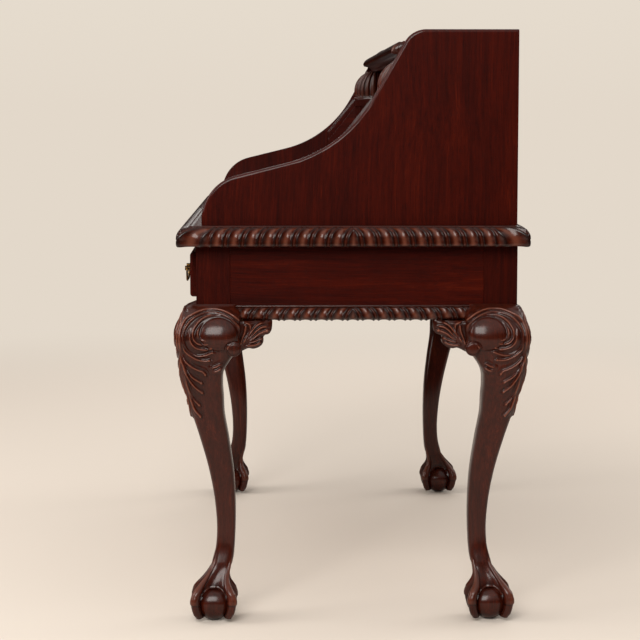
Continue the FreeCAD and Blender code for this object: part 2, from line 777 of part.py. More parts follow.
long_shaft = shaft_form()
leg_shafts = list(four_corners(long_shaft).values())
legs(long_shaft)
frame()
runners()
aprons(leg_shafts)
brackets(leg_shafts)
table_top()
end_panels()
gallery_boards()
wings()
pigeonholes()
upper_tier()
frieze_drawers()
small_drawers()
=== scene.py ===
import json
import math
import bmesh
import bpy
import numpy as np
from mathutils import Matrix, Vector

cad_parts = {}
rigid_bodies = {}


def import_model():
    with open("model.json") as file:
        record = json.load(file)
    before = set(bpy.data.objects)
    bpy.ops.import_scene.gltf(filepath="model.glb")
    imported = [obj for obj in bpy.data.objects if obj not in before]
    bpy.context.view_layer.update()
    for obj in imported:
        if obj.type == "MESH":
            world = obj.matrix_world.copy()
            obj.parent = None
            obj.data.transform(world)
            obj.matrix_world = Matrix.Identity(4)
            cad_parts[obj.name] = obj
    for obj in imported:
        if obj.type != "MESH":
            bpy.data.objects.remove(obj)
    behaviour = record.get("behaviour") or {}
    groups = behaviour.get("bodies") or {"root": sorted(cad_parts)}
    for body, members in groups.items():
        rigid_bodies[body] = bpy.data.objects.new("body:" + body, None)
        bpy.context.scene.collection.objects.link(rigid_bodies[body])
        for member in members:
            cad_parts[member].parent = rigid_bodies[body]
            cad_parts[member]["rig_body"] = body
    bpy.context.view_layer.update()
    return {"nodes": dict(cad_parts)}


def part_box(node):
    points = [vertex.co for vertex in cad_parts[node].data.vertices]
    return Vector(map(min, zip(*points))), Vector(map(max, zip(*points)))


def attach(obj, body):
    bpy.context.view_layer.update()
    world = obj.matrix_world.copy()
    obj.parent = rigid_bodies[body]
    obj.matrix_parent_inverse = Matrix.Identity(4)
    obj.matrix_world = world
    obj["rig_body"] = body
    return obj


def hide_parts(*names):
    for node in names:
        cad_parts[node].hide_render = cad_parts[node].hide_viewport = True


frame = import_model()
mm = 0.001


# Colours and nodes

def hexLinear(code):
    # sRGB hex to linear: below 0.04045 divide by 12.92, above it ((c + 0.055) / 1.055) to the power 2.4
    values = [int(code[i:i + 2], 16) / 255 for i in (1, 3, 5)]
    return [v / 12.92 if v <= 0.04045 else ((v + 0.055) / 1.055) ** 2.4 for v in values] + [1.0]


def addNode(tree, kind, inputs=None, **settings):
    # one node with its settings, its socket values and its links
    node = tree.nodes.new("ShaderNode" + kind)
    for key, value in settings.items():
        setattr(node, key, value)
    for socket, value in (inputs or {}).items():
        if isinstance(value, bpy.types.NodeSocket):
            tree.links.new(value, node.inputs[socket])
        else:
            node.inputs[socket].default_value = value
    return node


def newMaterial(name):
    material = bpy.data.materials.new(name)
    material.use_nodes = True
    material.node_tree.nodes.clear()
    return material, material.node_tree


def setRamp(node, stops):
    ramp = node.color_ramp
    while len(ramp.elements) < len(stops):
        ramp.elements.new(0.5)
    for element, (place, code) in zip(ramp.elements, stops):
        element.position = place
        element.color = hexLinear(code)
    return node.outputs["Color"]


def cloudNoise(tree, place, cellMm, detail):
    # noise as long as it is wide, one cell cellMm across
    return addNode(tree, "TexNoise", {"Vector": place, "Scale": 1 / (cellMm * mm),
                                      "Detail": detail}).outputs[0]


def stretched(tree, vector, alongMm, acrossMm, detail=3.0, roughness=0.55, distortion=0.0):
    # noise on the grain coordinate, one cell alongMm long and acrossMm wide
    scale = (1 / (alongMm * mm), 1 / (acrossMm * mm), 1 / (acrossMm * mm))
    mapped = addNode(tree, "Mapping", {"Vector": vector, "Scale": scale}).outputs[0]
    return addNode(tree, "TexNoise", {"Vector": mapped, "Scale": 1.0, "Detail": detail,
                                      "Roughness": roughness, "Distortion": distortion}).outputs[0]


def combine(tree, operation, a, b, clamp=False):
    return addNode(tree, "Math", {0: a, 1: b}, operation=operation, use_clamp=clamp).outputs[0]


def levelled(tree, value, levels, ends=(0.0, 1.0), **settings):
    # the value between two levels, spread from one end to the other
    return addNode(tree, "MapRange", {"Value": value, "From Min": levels[0], "From Max": levels[1],
                                      "To Min": ends[0], "To Max": ends[1]}, **settings).outputs[0]


def mixColours(tree, share, first, second):
    mix = addNode(tree, "Mix", {"Factor": share, "A": first, "B": second}, data_type="RGBA")
    return mix.outputs["Result"]


def mixToHex(tree, value, share, first, code):
    # a colour laid over the first one, by up to its share where the value is 1
    return mixColours(tree, combine(tree, "MULTIPLY", value, share), first, hexLinear(code))


rampPlaces = (0.0, 0.35, 0.7, 1.0)

mahoganyLook = {
    # French-polished mahogany: deep red heartwood under a hard glossy film, ribbon figure, short open pores
    "figureMm": (520, 46), "streakMm": (260, 7), "fineMm": (90, 2.2), "weights": (0.26, 0.34, 0.40),
    "poreMm": (16, 0.9),      # real pores are about 0.2 mm wide, drawn coarser so that they show
    "poreLevels": (0.56, 0.66), "poreShare": 0.5, "poreColour": "#120302", "poreDepthMm": 0.10,
    "fineShare": 0.3, "wander": 0.05, "wanderScale": 2.6, "levels": (0.34, 0.66),
    "panel": ["#200301", "#2d0501", "#390801", "#471003"],
    "carved": ["#200702", "#2d0b03", "#3a1005", "#4c1909"],
    # painted shade for the carving's recesses and cuts (and the posts' darker wood), painted highlight for
    # its crests
    "shadeAndDarkWoodShare": 0.8, "shadeAndDarkWoodColour": "#0d0302", "crestHighlightShare": 0.40, "crestHighlightPower": 2.2,
    "crestHighlightColour": "#a5624a",
    "roughness": (0.36, 0.50), "specular": 0.05, "panelCoat": (0.28, 0.11), "carvedCoat": (0.46, 0.19)}


def makeMahogany(name, colours, coat, coatRoughness):
    look = mahoganyLook
    material, tree = newMaterial(name)
    grain = addNode(tree, "Attribute", attribute_name="wood").outputs["Vector"]
    # the relief attribute carries a painted tone: below zero painted shade (on the posts a darker wood),
    # above zero painted highlight
    relief = addNode(tree, "Attribute", attribute_name="relief").outputs["Fac"]
    # the grain wanders: a slow noise pushes the coordinate sideways
    wander = addNode(tree, "TexNoise", {"Vector": grain, "Scale": look["wanderScale"],
                                        "Detail": 1.0}).outputs["Color"]
    push = addNode(tree, "VectorMath", {0: wander, 1: (0.0, look["wander"], look["wander"])},
                   operation="MULTIPLY").outputs[0]
    wandered = addNode(tree, "VectorMath", {0: grain, 1: push}, operation="ADD").outputs[0]
    figure = stretched(tree, wandered, *look["figureMm"], detail=2.0)
    streak = stretched(tree, wandered, *look["streakMm"], detail=3.0)
    fine = stretched(tree, wandered, *look["fineMm"], detail=3.0, roughness=0.65)
    pore = stretched(tree, wandered, *look["poreMm"], detail=2.0)
    parts = [combine(tree, "MULTIPLY", noise, weight)
             for noise, weight in zip((figure, streak, fine), look["weights"])]
    mixed = combine(tree, "ADD", combine(tree, "ADD", parts[0], parts[1]), parts[2])
    ramp = addNode(tree, "ValToRGB", {"Fac": levelled(tree, mixed, look["levels"])})
    colour = setRamp(ramp, list(zip(rampPlaces, colours)))
    poreMask = levelled(tree, pore, look["poreLevels"])
    colour = mixToHex(tree, poreMask, look["poreShare"], colour, look["poreColour"])
    # painted shade: a negative relief darkens the carving's recesses and cuts, and gives the posts their
    # darker wood
    shadeAndDarkWood = levelled(tree, relief, (0.0, -1.0))
    # painted highlight: a positive relief lightens the crests
    crest = combine(tree, "POWER", levelled(tree, relief, (0.0, 1.0)), look["crestHighlightPower"])
    colour = mixToHex(tree, shadeAndDarkWood, look["shadeAndDarkWoodShare"], colour, look["shadeAndDarkWoodColour"])
    colour = mixToHex(tree, crest, look["crestHighlightShare"], colour, look["crestHighlightColour"])
    rough = levelled(tree, fine, (0.0, 1.0), look["roughness"])
    height = combine(tree, "SUBTRACT", combine(tree, "MULTIPLY", fine, look["fineShare"]), poreMask)
    bump = addNode(tree, "Bump", {"Height": height, "Strength": 0.5,
                                  "Distance": look["poreDepthMm"] * mm}).outputs[0]
    shader = addNode(tree, "BsdfPrincipled", {"Base Color": colour, "Roughness": rough, "IOR": 1.5,
                                              "Specular IOR Level": look["specular"], "Coat Weight": coat,
                                              "Coat Roughness": coatRoughness, "Coat IOR": 1.5,
                                              "Normal": bump})
    addNode(tree, "OutputMaterial", {"Surface": shader.outputs[0]})
    return material


oakLook = {"colours": ["#6d4a26", "#8c6436", "#a67b47", "#b98d58"], "grainMm": (300, 5), "levels": (0.3, 0.7),
           "poreMm": (22, 1.1), "poreLevels": (0.56, 0.68), "poreShare": 0.6, "poreColour": "#3d2611",
           "poreDepthMm": 0.15, "roughness": 0.58}


def makeOak():
    # planed oak, waxed: pale brown, dull, with open pores in lines along the grain
    look = oakLook
    material, tree = newMaterial("oak_planed_waxed")
    grain = addNode(tree, "Attribute", attribute_name="wood").outputs["Vector"]
    bands = stretched(tree, grain, *look["grainMm"], detail=4.0, distortion=0.4)
    pore = stretched(tree, grain, *look["poreMm"], detail=2.0)
    ramp = addNode(tree, "ValToRGB", {"Fac": levelled(tree, bands, look["levels"])})
    colour = setRamp(ramp, list(zip(rampPlaces, look["colours"])))
    poreMask = levelled(tree, pore, look["poreLevels"])
    colour = mixToHex(tree, poreMask, look["poreShare"], colour, look["poreColour"])
    bump = addNode(tree, "Bump", {"Height": combine(tree, "SUBTRACT", bands, poreMask), "Strength": 0.6,
                                  "Distance": look["poreDepthMm"] * mm}).outputs[0]
    shader = addNode(tree, "BsdfPrincipled", {"Base Color": colour, "Roughness": look["roughness"],
                                              "IOR": 1.47, "Normal": bump})
    addNode(tree, "OutputMaterial", {"Surface": shader.outputs[0]})
    return material


brassLook = {"stops": [(0.28, "#1c120a"), (0.5, "#4d341a"), (0.78, "#86632f")], "cloudMm": 9.0,
             "cloudLevels": (0.3, 0.7), "pitMm": 1.4, "pitDepthMm": 0.08, "reliefShare": 0.3,
             "roughness": (0.46, 0.24)}


def makeBrass():
    # cast brass, lacquered and aged brown: metal that is bright where hands rub it and dull in the hollows
    look = brassLook
    material, tree = newMaterial("brass_cast_antiqued")
    place = addNode(tree, "TexCoord").outputs["Object"]
    cloud = cloudNoise(tree, place, look["cloudMm"], 4.0)
    pits = cloudNoise(tree, place, look["pitMm"], 2.0)
    relief = addNode(tree, "Attribute", attribute_name="relief").outputs["Fac"]
    level = combine(tree, "ADD", cloud, combine(tree, "MULTIPLY", relief, look["reliefShare"]), clamp=True)
    colour = setRamp(addNode(tree, "ValToRGB", {"Fac": level}), look["stops"])
    rough = levelled(tree, cloud, look["cloudLevels"], look["roughness"])
    bump = addNode(tree, "Bump", {"Height": pits, "Strength": 0.35,
                                  "Distance": look["pitDepthMm"] * mm}).outputs[0]
    shader = addNode(tree, "BsdfPrincipled", {"Base Color": colour, "Metallic": 1.0, "Roughness": rough,
                                              "Normal": bump})
    addNode(tree, "OutputMaterial", {"Surface": shader.outputs[0]})
    return material


leatherLook = {"stops": [(0.3, "#3b0d0a"), (0.5, "#54150f"), (0.75, "#6a2117")], "gilt": "#b98a3c",
               "giltMetal": 0.7, "pebbleMm": 1.6, "grainDepthMm": 0.25, "mottleMm": 60, "roughness": 0.46,
               # how much gilt is left where it is most worn, and the weights of the grain and the tooling
               "giltLeft": 0.7, "pebbleHeight": 1.5, "toolDepth": 0.8,
               # the two gilt lines: distance in from the hide's edge and half width
               "lines": ((12.0, 1.2), (17.0, 0.6))}


def makeLeather(low, high):
    # dyed hide, pressed and waxed: dark red, fine pebbled grain, two gilt lines tooled round the border
    look = leatherLook
    material, tree = newMaterial("hide_tooled_gilt")
    place = addNode(tree, "TexCoord").outputs["Object"]
    mottle = cloudNoise(tree, place, look["mottleMm"], 3.0)
    pebble = addNode(tree, "TexVoronoi", {"Vector": place, "Scale": 1 / (look["pebbleMm"] * mm)},
                     feature="DISTANCE_TO_EDGE").outputs["Distance"]
    colour = setRamp(addNode(tree, "ValToRGB", {"Fac": mottle}), look["stops"])
    parts = addNode(tree, "SeparateXYZ", {"Vector": place}).outputs
    # distance in from the nearest edge: half the width less how far the point lies from the middle
    inward = []
    for axis in (0, 1):
        off = combine(tree, "SUBTRACT", parts[axis], (high[axis] + low[axis]) / 2)
        off = addNode(tree, "Math", {0: off}, operation="ABSOLUTE").outputs[0]
        inward.append(combine(tree, "SUBTRACT", (high[axis] - low[axis]) / 2, off))
    inside = combine(tree, "MINIMUM", *inward)
    lines = [addNode(tree, "Math", {0: inside, 1: distance * mm, 2: half * mm}, operation="COMPARE")
             for distance, half in look["lines"]]
    tooled = combine(tree, "MAXIMUM", *[line.outputs[0] for line in lines])
    worn = combine(tree, "MULTIPLY", tooled, levelled(tree, mottle, (0.0, 1.0), (look["giltLeft"], 1.0)))
    colour = mixColours(tree, worn, colour, hexLinear(look["gilt"]))
    height = combine(tree, "SUBTRACT", combine(tree, "MULTIPLY", pebble, look["pebbleHeight"]),
                     combine(tree, "MULTIPLY", tooled, look["toolDepth"]))
    bump = addNode(tree, "Bump", {"Height": height, "Strength": 0.5,
                                  "Distance": look["grainDepthMm"] * mm}).outputs[0]
    metal = combine(tree, "MULTIPLY", worn, look["giltMetal"])
    shader = addNode(tree, "BsdfPrincipled", {"Base Color": colour, "Metallic": metal, "IOR": 1.48,
                                              "Roughness": look["roughness"], "Normal": bump})
    addNode(tree, "OutputMaterial", {"Surface": shader.outputs[0]})
    return material


panelWood = makeMahogany("mahogany_french_polished", mahoganyLook["panel"], *mahoganyLook["panelCoat"])
carvedWood = makeMahogany("mahogany_carved_waxed", mahoganyLook["carved"], *mahoganyLook["carvedCoat"])
oak = makeOak()
brass = makeBrass()
leather = makeLeather(*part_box("writing_leather"))
print("materials made")


# Mesh helpers

partSeedStep = 0.37
boardSeedStep = 1.7


def boardShift(seed):
    # a fixed offset for each board, so that no two boards share their figure
    return np.array([math.sin(seed * 12.9898) * 3.7, math.sin(seed * 78.233) * 2.9,
                     math.sin(seed * 37.719) * 3.3])


def grainFrame(points, axis, seed):
    # the wood's own coordinate: first along the grain, then across it, plus the board's offset
    order = [axis, (axis + 1) % 3, (axis + 2) % 3]
    return points[..., order] + boardShift(seed)


def tubePart(points, relief):
    # points (rows, columns, 3): columns close round into a tube, and each end row is closed by a fan
    rows, columns = points.shape[:2]
    index = np.arange(rows * columns).reshape(rows, columns)
    right = np.roll(index, -1, axis=1)
    quads = np.stack([index[:-1], right[:-1], right[1:], index[1:]], axis=-1).reshape(-1, 4)
    centres = np.array([points[0].mean(axis=0), points[-1].mean(axis=0)])
    first = np.stack([right[0], index[0], np.full(columns, rows * columns)], axis=-1)
    last = np.stack([index[-1], right[-1], np.full(columns, rows * columns + 1)], axis=-1)
    return {"points": np.vstack([points.reshape(-1, 3), centres]), "quads": quads,
            "triangles": np.vstack([first, last]), "relief": np.concatenate([relief.reshape(-1), [0.0, 0.0]])}


def boxPart(low, high, relief):
    # a plain block between two corners, its edges left for the Bevel modifier, with one relief value all over
    corners = np.array([[low[0], low[1]], [high[0], low[1]], [high[0], high[1]], [low[0], high[1]]])
    points = np.stack([np.column_stack([corners, np.full(4, z)]) for z in (low[2], high[2])])
    index = np.arange(8).reshape(2, 4)
    right = np.roll(index, -1, axis=1)
    sides = np.stack([index[0], right[0], right[1], index[1]], axis=-1)
    quads = np.vstack([sides, index[0][::-1], index[1]])
    return {"points": points.reshape(-1, 3), "quads": quads, "triangles": np.zeros((0, 3), int),
            "relief": np.full(8, relief)}


def moved(part, scale, shift):
    copy = dict(part)
    copy["points"] = part["points"] * np.array(scale) + np.array(shift)
    return copy


def bevelled(item, widthMm):
    # small rounded arrises, as a plane and sandpaper leave them
    bevel = item.modifiers.new("arris", "BEVEL")
    bevel.width = widthMm * mm
    bevel.segments = 2
    bevel.limit_method = "ANGLE"
    bevel.angle_limit = math.radians(35)
    normals = item.modifiers.new("normals", "WEIGHTED_NORMAL")
    normals.weight = 60


def finishPiece(name, mesh, material, body, nodes, bevelMm):
    # the object of a mesh, with its arrises, its material and what the frame has to know of it
    mesh.shade_smooth()
    mesh.materials.append(material)
    item = bpy.data.objects.new(name, mesh)
    if bevelMm:
        bevelled(item, bevelMm)
    bpy.context.scene.collection.objects.link(item)
    if nodes:
        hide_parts(*nodes)
    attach(item, body)


def addPiece(name, parts, material, body, nodes=(), grain=2, seed=1.0, bevelMm=0.0):
    # joins the parts into one mesh, turns its faces outward and stores the wood coordinate and the relief, a
    # painted light and shade tone
    points = []
    faces = []
    relief = []
    wood = []
    for number, part in enumerate(parts):
        offset = sum(len(p) for p in points)
        points.append(part["points"])
        faces += (part["quads"] + offset).tolist() + (part["triangles"] + offset).tolist()
        relief.append(part["relief"])
        wood.append(grainFrame(part["points"], grain, seed + number * partSeedStep))
    mesh = bpy.data.meshes.new(name)
    mesh.from_pydata(np.vstack(points), [], faces)
    work = bmesh.new()
    work.from_mesh(mesh)
    bmesh.ops.recalc_face_normals(work, faces=work.faces)
    work.to_mesh(mesh)
    work.free()
    mesh.attributes.new("relief", "FLOAT", "POINT").data.foreach_set("value", np.concatenate(relief))
    mesh.attributes.new("wood", "FLOAT_VECTOR", "POINT").data.foreach_set("vector", np.vstack(wood).ravel())
    finishPiece(name, mesh, material, body, nodes, bevelMm)


def solidLabels(triangles, count):
    # one label for each solid: triangles that share an edge share a label, spread until nothing changes
    edges = np.sort(triangles[:, [0, 1, 1, 2, 2, 0]].reshape(-1, 2), axis=1)
    keys, inverse = np.unique(edges[:, 0] * count + edges[:, 1], return_inverse=True)
    inverse = inverse.reshape(-1, 3)
    labels = np.arange(len(triangles))
    while True:
        perEdge = np.full(len(keys), len(triangles))
        np.minimum.at(perEdge, inverse.ravel(), np.repeat(labels, 3))
        fresh = perEdge[inverse].min(axis=1)
        if (fresh == labels).all():
            return labels
        labels = fresh


def dressNode(node, material, grain=None, bevelMm=0.7):
    # a merged copy of a node's mesh with rounded arrises, each board with its grain along its length
    source = frame["nodes"][node]
    data = source.data
    places = np.zeros(len(data.vertices) * 3)
    data.vertices.foreach_get("co", places)
    places = np.round(places.reshape(-1, 3), 6)
    data.calc_loop_triangles()
    corners = np.zeros(len(data.loop_triangles) * 3, int)
    data.loop_triangles.foreach_get("vertices", corners)
    unique, inverse = np.unique(places, axis=0, return_inverse=True)
    triangles = inverse.ravel()[corners].reshape(-1, 3)
    triangles = triangles[(triangles != np.roll(triangles, 1, axis=1)).all(axis=1)]
    labels = solidLabels(triangles, len(unique))
    points = []
    faces = []
    wood = []
    start = sum(ord(c) for c in node)
    for number, label in enumerate(np.unique(labels)):
        own = triangles[labels == label]
        used, local = np.unique(own, return_inverse=True)
        block = unique[used]
        axis = int(np.argmax(np.ptp(block, axis=0))) if grain is None else grain
        faces += (local.reshape(-1, 3) + sum(len(p) for p in points)).tolist()
        points.append(block)
        wood.append(grainFrame(block, axis, start + number * boardSeedStep))
    mesh = bpy.data.meshes.new(node + "_dressed")
    mesh.from_pydata(np.vstack(points), [], faces)
    mesh.attributes.new("wood", "FLOAT_VECTOR", "POINT").data.foreach_set("vector", np.vstack(wood).ravel())
    work = bmesh.new()
    work.from_mesh(mesh)
    bmesh.ops.dissolve_limit(work, angle_limit=math.radians(1.0), verts=work.verts, edges=work.edges)
    work.to_mesh(mesh)
    work.free()
    finishPiece(node + "_dressed", mesh, material, source["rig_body"], [node], bevelMm)


def hermite(x, knots, values):
    # a smooth curve through knots: on each span the cubic with the slopes of its neighbours
    knots = np.asarray(knots, float)
    values = np.asarray(values, float)
    slopes = np.gradient(values, knots)
    span = np.clip(np.searchsorted(knots, x, side="right") - 1, 0, len(knots) - 2)
    width = knots[span + 1] - knots[span]
    t = np.clip((x - knots[span]) / width, 0, 1)
    return ((1 + 2 * t) * (1 - t) ** 2 * values[span] + t * (1 - t) ** 2 * width * slopes[span]
            + t * t * (3 - 2 * t) * values[span + 1] + t * t * (t - 1) * width * slopes[span + 1])


def runLength(points):
    # the distance run along a line at each of its points
    return np.concatenate([[0], np.cumsum(np.linalg.norm(np.diff(points, axis=0), axis=1))])


def smoothPath(points, samples=10):
    # a smooth line through points, by the same cubic on the distance run so far
    points = np.asarray(points, float)
    run = runLength(points)
    fine = np.linspace(0, run[-1], samples * (len(points) - 1) + 1)
    return np.column_stack([hermite(fine, run, points[:, i]) for i in range(2)])


def smoothStep(x, low, high):
    t = np.clip((x - low) / (high - low), 0, 1)
    return t * t * (3 - 2 * t)


def bell(x, at, width, height=1.0):
    # a soft ridge or groove: height exp(-((x - at) / width)^2)
    return height * np.exp(-((x - at) / width) ** 2)


def cap(x):
    # a round cap: sqrt(1 - x^2) inside 1, and nothing outside
    return np.sqrt(np.clip(1 - x ** 2, 0, 1))


def fullTurn(columns):
    return np.linspace(0, 2 * math.pi, columns, endpoint=False)[None, :]


def softSquare(turn, wide, deep, power):
    # radius of |x / wide|^n + |y / deep|^n = 1 in the direction of the turn
    return ((np.abs(np.cos(turn)) / wide) ** power + (np.abs(np.sin(turn)) / deep) ** power) ** (-1 / power)


def nearestOnPath(across, up, path):
    # distance to a line, its side (positive on the left) and the share of its length at the nearest place
    points = np.stack([across.ravel(), up.ravel()], axis=-1)
    spans = np.diff(path, axis=0)
    lengths = np.linalg.norm(spans, axis=1)
    runs = runLength(path)
    best = np.full(len(points), 1e9)
    side = np.zeros(len(points))
    share = np.zeros(len(points))
    for start, span, length, run in zip(path, spans, lengths, runs):
        rel = points - start
        t = np.clip(rel @ span / length ** 2, 0, 1)
        off = rel - t[:, None] * span
        distance = np.hypot(off[:, 0], off[:, 1])
        closer = distance < best
        best[closer] = distance[closer]
        side[closer] = np.sign(span[0] * rel[closer, 1] - span[1] * rel[closer, 0])
        share[closer] = (run + t[closer] * length) / runs[-1]
    return best.reshape(across.shape), side.reshape(across.shape), share.reshape(across.shape)


# a strand's start: its width and height as shares of the full ones, and the length over which it swells; and
# the share of the bank's reach that stays flat
strandLook = {"thinStart": 0.6, "lowStart": 0.35, "fadeIn": 0.08, "bankFlat": 0.45}


def carvedStrands(across, up, strands, cut):
    # a leaf, in mm: a raised ridge along each strand that swells into a bead at its tip, a cut on the
    # strand's right side, and a low bank under all of them
    thin = strandLook["thinStart"]
    low = strandLook["lowStart"]
    crest = np.zeros(across.shape)
    groove = np.zeros(across.shape)
    bank = np.zeros(across.shape)
    for strand in strands:
        path = smoothPath(strand["line"])
        distance, side, share = nearestOnPath(across, up, path)
        fade = smoothStep(share, 0.0, strand.get("fadeIn", strandLook["fadeIn"]))
        width = cut["ridgeWidth"] * (thin + (1 - thin) * fade)
        crest = np.maximum(crest, cut["ridgeHeight"] * (low + (1 - low) * fade) * bell(distance, 0, width))
        tip = np.hypot(across - path[-1, 0], up - path[-1, 1])
        if strand.get("bead", True):
            crest = np.maximum(crest, cut["beadHeight"] * cap(tip / cut["beadRadius"]))
        beside = bell(distance * side, -cut["grooveOffset"], cut["grooveWidth"])
        groove = np.maximum(groove, fade * cut["grooveDepth"] * beside)
        near = smoothStep(-distance, -cut["bankReach"], -cut["bankReach"] * strandLook["bankFlat"])
        bank = np.maximum(bank, cut["bankHeight"] * near)
    return crest, groove, bank


# Places taken from the frame, in millimetres

def nodeBox(name):
    low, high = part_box(name)
    return np.array(low) / mm, np.array(high) / mm


railLow, railHigh = nodeBox("side_rails")
edgeLow, edgeHigh = nodeBox("table_edge_mouldings")
boardLow, boardHigh = nodeBox("table_top")
apronLow, apronHigh = nodeBox("apron_mouldings")
friezeBottom = railLow[2]
friezeTop = railHigh[2]
friezeX = railHigh[0]
backLow, backHigh = nodeBox("back_rail")
frontLow, frontHigh = nodeBox("front_rails")
friezeFront = frontLow[1]
friezeBack = backHigh[1]


# Legs: one surface from the floor to the frieze, turned round a leaning middle line

leg = {
    "inset": 61.5, "throw": 24.0, "kneeWidth": 125.7, "footHeight": 116.0, "ankleShare": 0.19,
    # height share, throw share, width share, corner share
    "stations": [(0.085, 0.00, 0.33, 0.42), (0.108, -0.02, 0.33, 0.42), (0.130, -0.15, 0.325, 0.41),
                 (0.150, -0.35, 0.32, 0.40), (0.172, -0.58, 0.318, 0.39), (0.192, -0.72, 0.312, 0.38),
                 (0.223, -0.87, 0.292, 0.37), (0.261, -0.95, 0.284, 0.36), (0.361, -0.93, 0.312, 0.34),
                 (0.473, -0.64, 0.374, 0.32), (0.584, -0.10, 0.440, 0.30), (0.670, 0.38, 0.500, 0.29),
                 (0.714, 0.53, 0.556, 0.29), (0.756, 0.71, 0.615, 0.28), (0.797, 0.78, 0.688, 0.27),
                 (0.830, 0.60, 0.79, 0.26), (0.860, 0.42, 0.90, 0.25), (0.885, 0.38, 0.967, 0.24),
                 (0.910, 0.33, 0.99, 0.24), (0.948, 0.20, 0.93, 0.22), (0.983, 0.02, 0.81, 0.18),
                 (1.000, 0.00, 0.58, 0.12), (1.0045, -0.27, 0.496, 0.12), (1.030, -0.27, 0.49, 0.12)],
    # the shoulder rises higher on the front and back faces: height share, width share
    "shoulder": [(0.948, 0.93), (0.983, 0.86), (1.000, 0.74), (1.0045, 0.72), (1.013, 0.62), (1.022, 0.54),
                 (1.030, 0.49)],
    "outerColumns": 186, "innerColumns": 86, "outerFrom": -53, "outerTo": 143,
    "webRows": 60, "shankRows": 26, "kneeRows": 192, "footTop": 150.0, "carvingFoot": 386.0, "top": 1.03,
    "throwFrom": 52.0, "throwFull": 74.0, "postTone": -0.2}

foot = {
    "ballRadius": 33.2, "ballFlat": 0.6, "ballSquare": 2.9, "squareFade": 1.5, "ballRows": 34,
    "ballColumns": 72,
    # painted shade beside the toes, over an angle in radians, and painted shadow under the hood, between two
    # heights
    "ballShade": 0.8, "ballShadeWide": 0.10, "ballShadeTop": (56, 65), "ballTone": 0.10,
    # a toe by height: how far out its middle line lies and its half width
    "toeHeights": [9.5, 14, 21, 28, 33.5, 35.0, 37.0, 41.5, 47, 52, 57.5, 64, 72, 82, 95, 108, 122, 138],
    "toeMiddles": [40.6, 43.4, 46.2, 48.2, 49.6, 50.0, 50.4, 50.8, 50.2, 48.4, 45.6, 41.2, 35.0, 28.4, 23.2,
                   20.4, 18.6, 15.5],
    "toeHalves": [5.6, 6.8, 7.5, 7.8, 7.8, 7.8, 8.7, 9.1, 8.8, 8.6, 8.9, 8.0, 6.6, 5.2, 4.4, 3.8, 3.2, 2.6],
    "toeTip": 6.5, "toeRows": 84, "toeColumns": 40, "toeTail": 15.0, "tailThins": (60, 90), "tailLoss": 0.45,
    "toeShiftFrom": 56.0, "toeCrowd": 1.15, "toeSwell": 1.05, "bluntShare": 0.25, "cuticle": 36.0,
    # the painted shade line at the cuticle: height and width
    "cuticleShade": (34.8, 1.1),
    # tones of a toe: painted light on the outside, painted shade on the inside, and how much the nail is
    # darker and the flesh lighter
    "toeLight": 0.35, "toeShade": -0.8, "nailShade": 0.25,
    "rimTop": 64.0, "rimDrop": 15.0, "rimPower": 5, "rimThick": 3.2, "webTop": 112.0, "webFall": 1.7,
    "valley": 2.6, "webCrowd": 1.2,
    # over the rim: a bead, a painted highlight line and a painted shade line, each by its place, width and
    # height
    "rimBead": (2.0, 1.5, 1.0), "rimLight": (1.5, 1.6, 0.4), "rimShade": (6.0, 3.5, 0.6),
    # the rim's inner lip: steps down from the rim and in from its radius
    "lipDown": (2.0, 1.6, 0.3), "lipIn": (3.4, 0.6), "lipInnerRadius": 8.0}

knee = {
    # places outward from the leg's axis along its face and up from the floor, then radii and height
    "dome": (-13.5, 560.0, 34.0, 31.5, 7.2), "volute": (-38.5, 533.0, 12.0, 4.6),
    "ridgeA": (-7.5, 553.5, 43.5, 214, 12), "ridgeB": (0.0, 546.4, 55.5, 205, 15),
    "ridgeC": (0.0, 540.0, 67.0, 198, 62),
    # the cut round the dome, the rim round the volute: place and width as shares of the radius, and height
    "moat": (1.06, 0.045, 2.6), "voluteRim": (1.18, 0.10, 3.2), "voluteZone": 1.35, "voluteStep": 1.0,
    "rimRise": (-8, 2), "scrollRise": (1.0, 1.3),
    # painted tones: full painted highlight this far above the bank, ground below a height and how dark the
    # painted shade in its cuts is, the dome's painted highlight
    "lightRise": 3.0, "groundBelow": 0.4, "groundShade": -0.5, "groundCuts": (0.3, 2.0), "domeHighlight": 0.15,
    "cut": {"ridgeHeight": 3.0, "ridgeWidth": 1.7, "beadHeight": 3.3, "beadRadius": 2.8, "grooveDepth": 2.8,
            "grooveOffset": 3.6, "grooveWidth": 1.8, "bankHeight": 1.6, "bankReach": 9.0},
    # the carving fades at its foot, its top and the leg's far side, and its ground lies deeper up the knee
    "fadeUp": 16.0, "fadeTop": 6.0, "fadeSide": (-54, -48),
    "groundSink": 2.6, "sinkTop": 500, "sinkSide": (-54, -24)}

volute = {"radius": 14.0, "out": 4.2, "deep": 16.0, "past": 3.0, "sunk": 1.5, "rings": 16, "columns": 44,
          # the ring cut into its face: place and width as shares of the radius, depth, and its painted shade;
          # then the face's painted highlight
          "swirl": (0.80, 0.07), "swirlDepth": 1.5, "swirlShade": -0.9, "faceHighlight": 0.2,
          "roundPower": 2.6, "backShares": (1.0, 0.6, 0.05)}


def arcLine(centreX, centreZ, radius, fromDegrees, toDegrees, steps=9):
    turn = np.radians(np.linspace(fromDegrees, toDegrees, steps))
    return [(centreX + radius * math.cos(t), centreZ + radius * math.sin(t)) for t in turn]


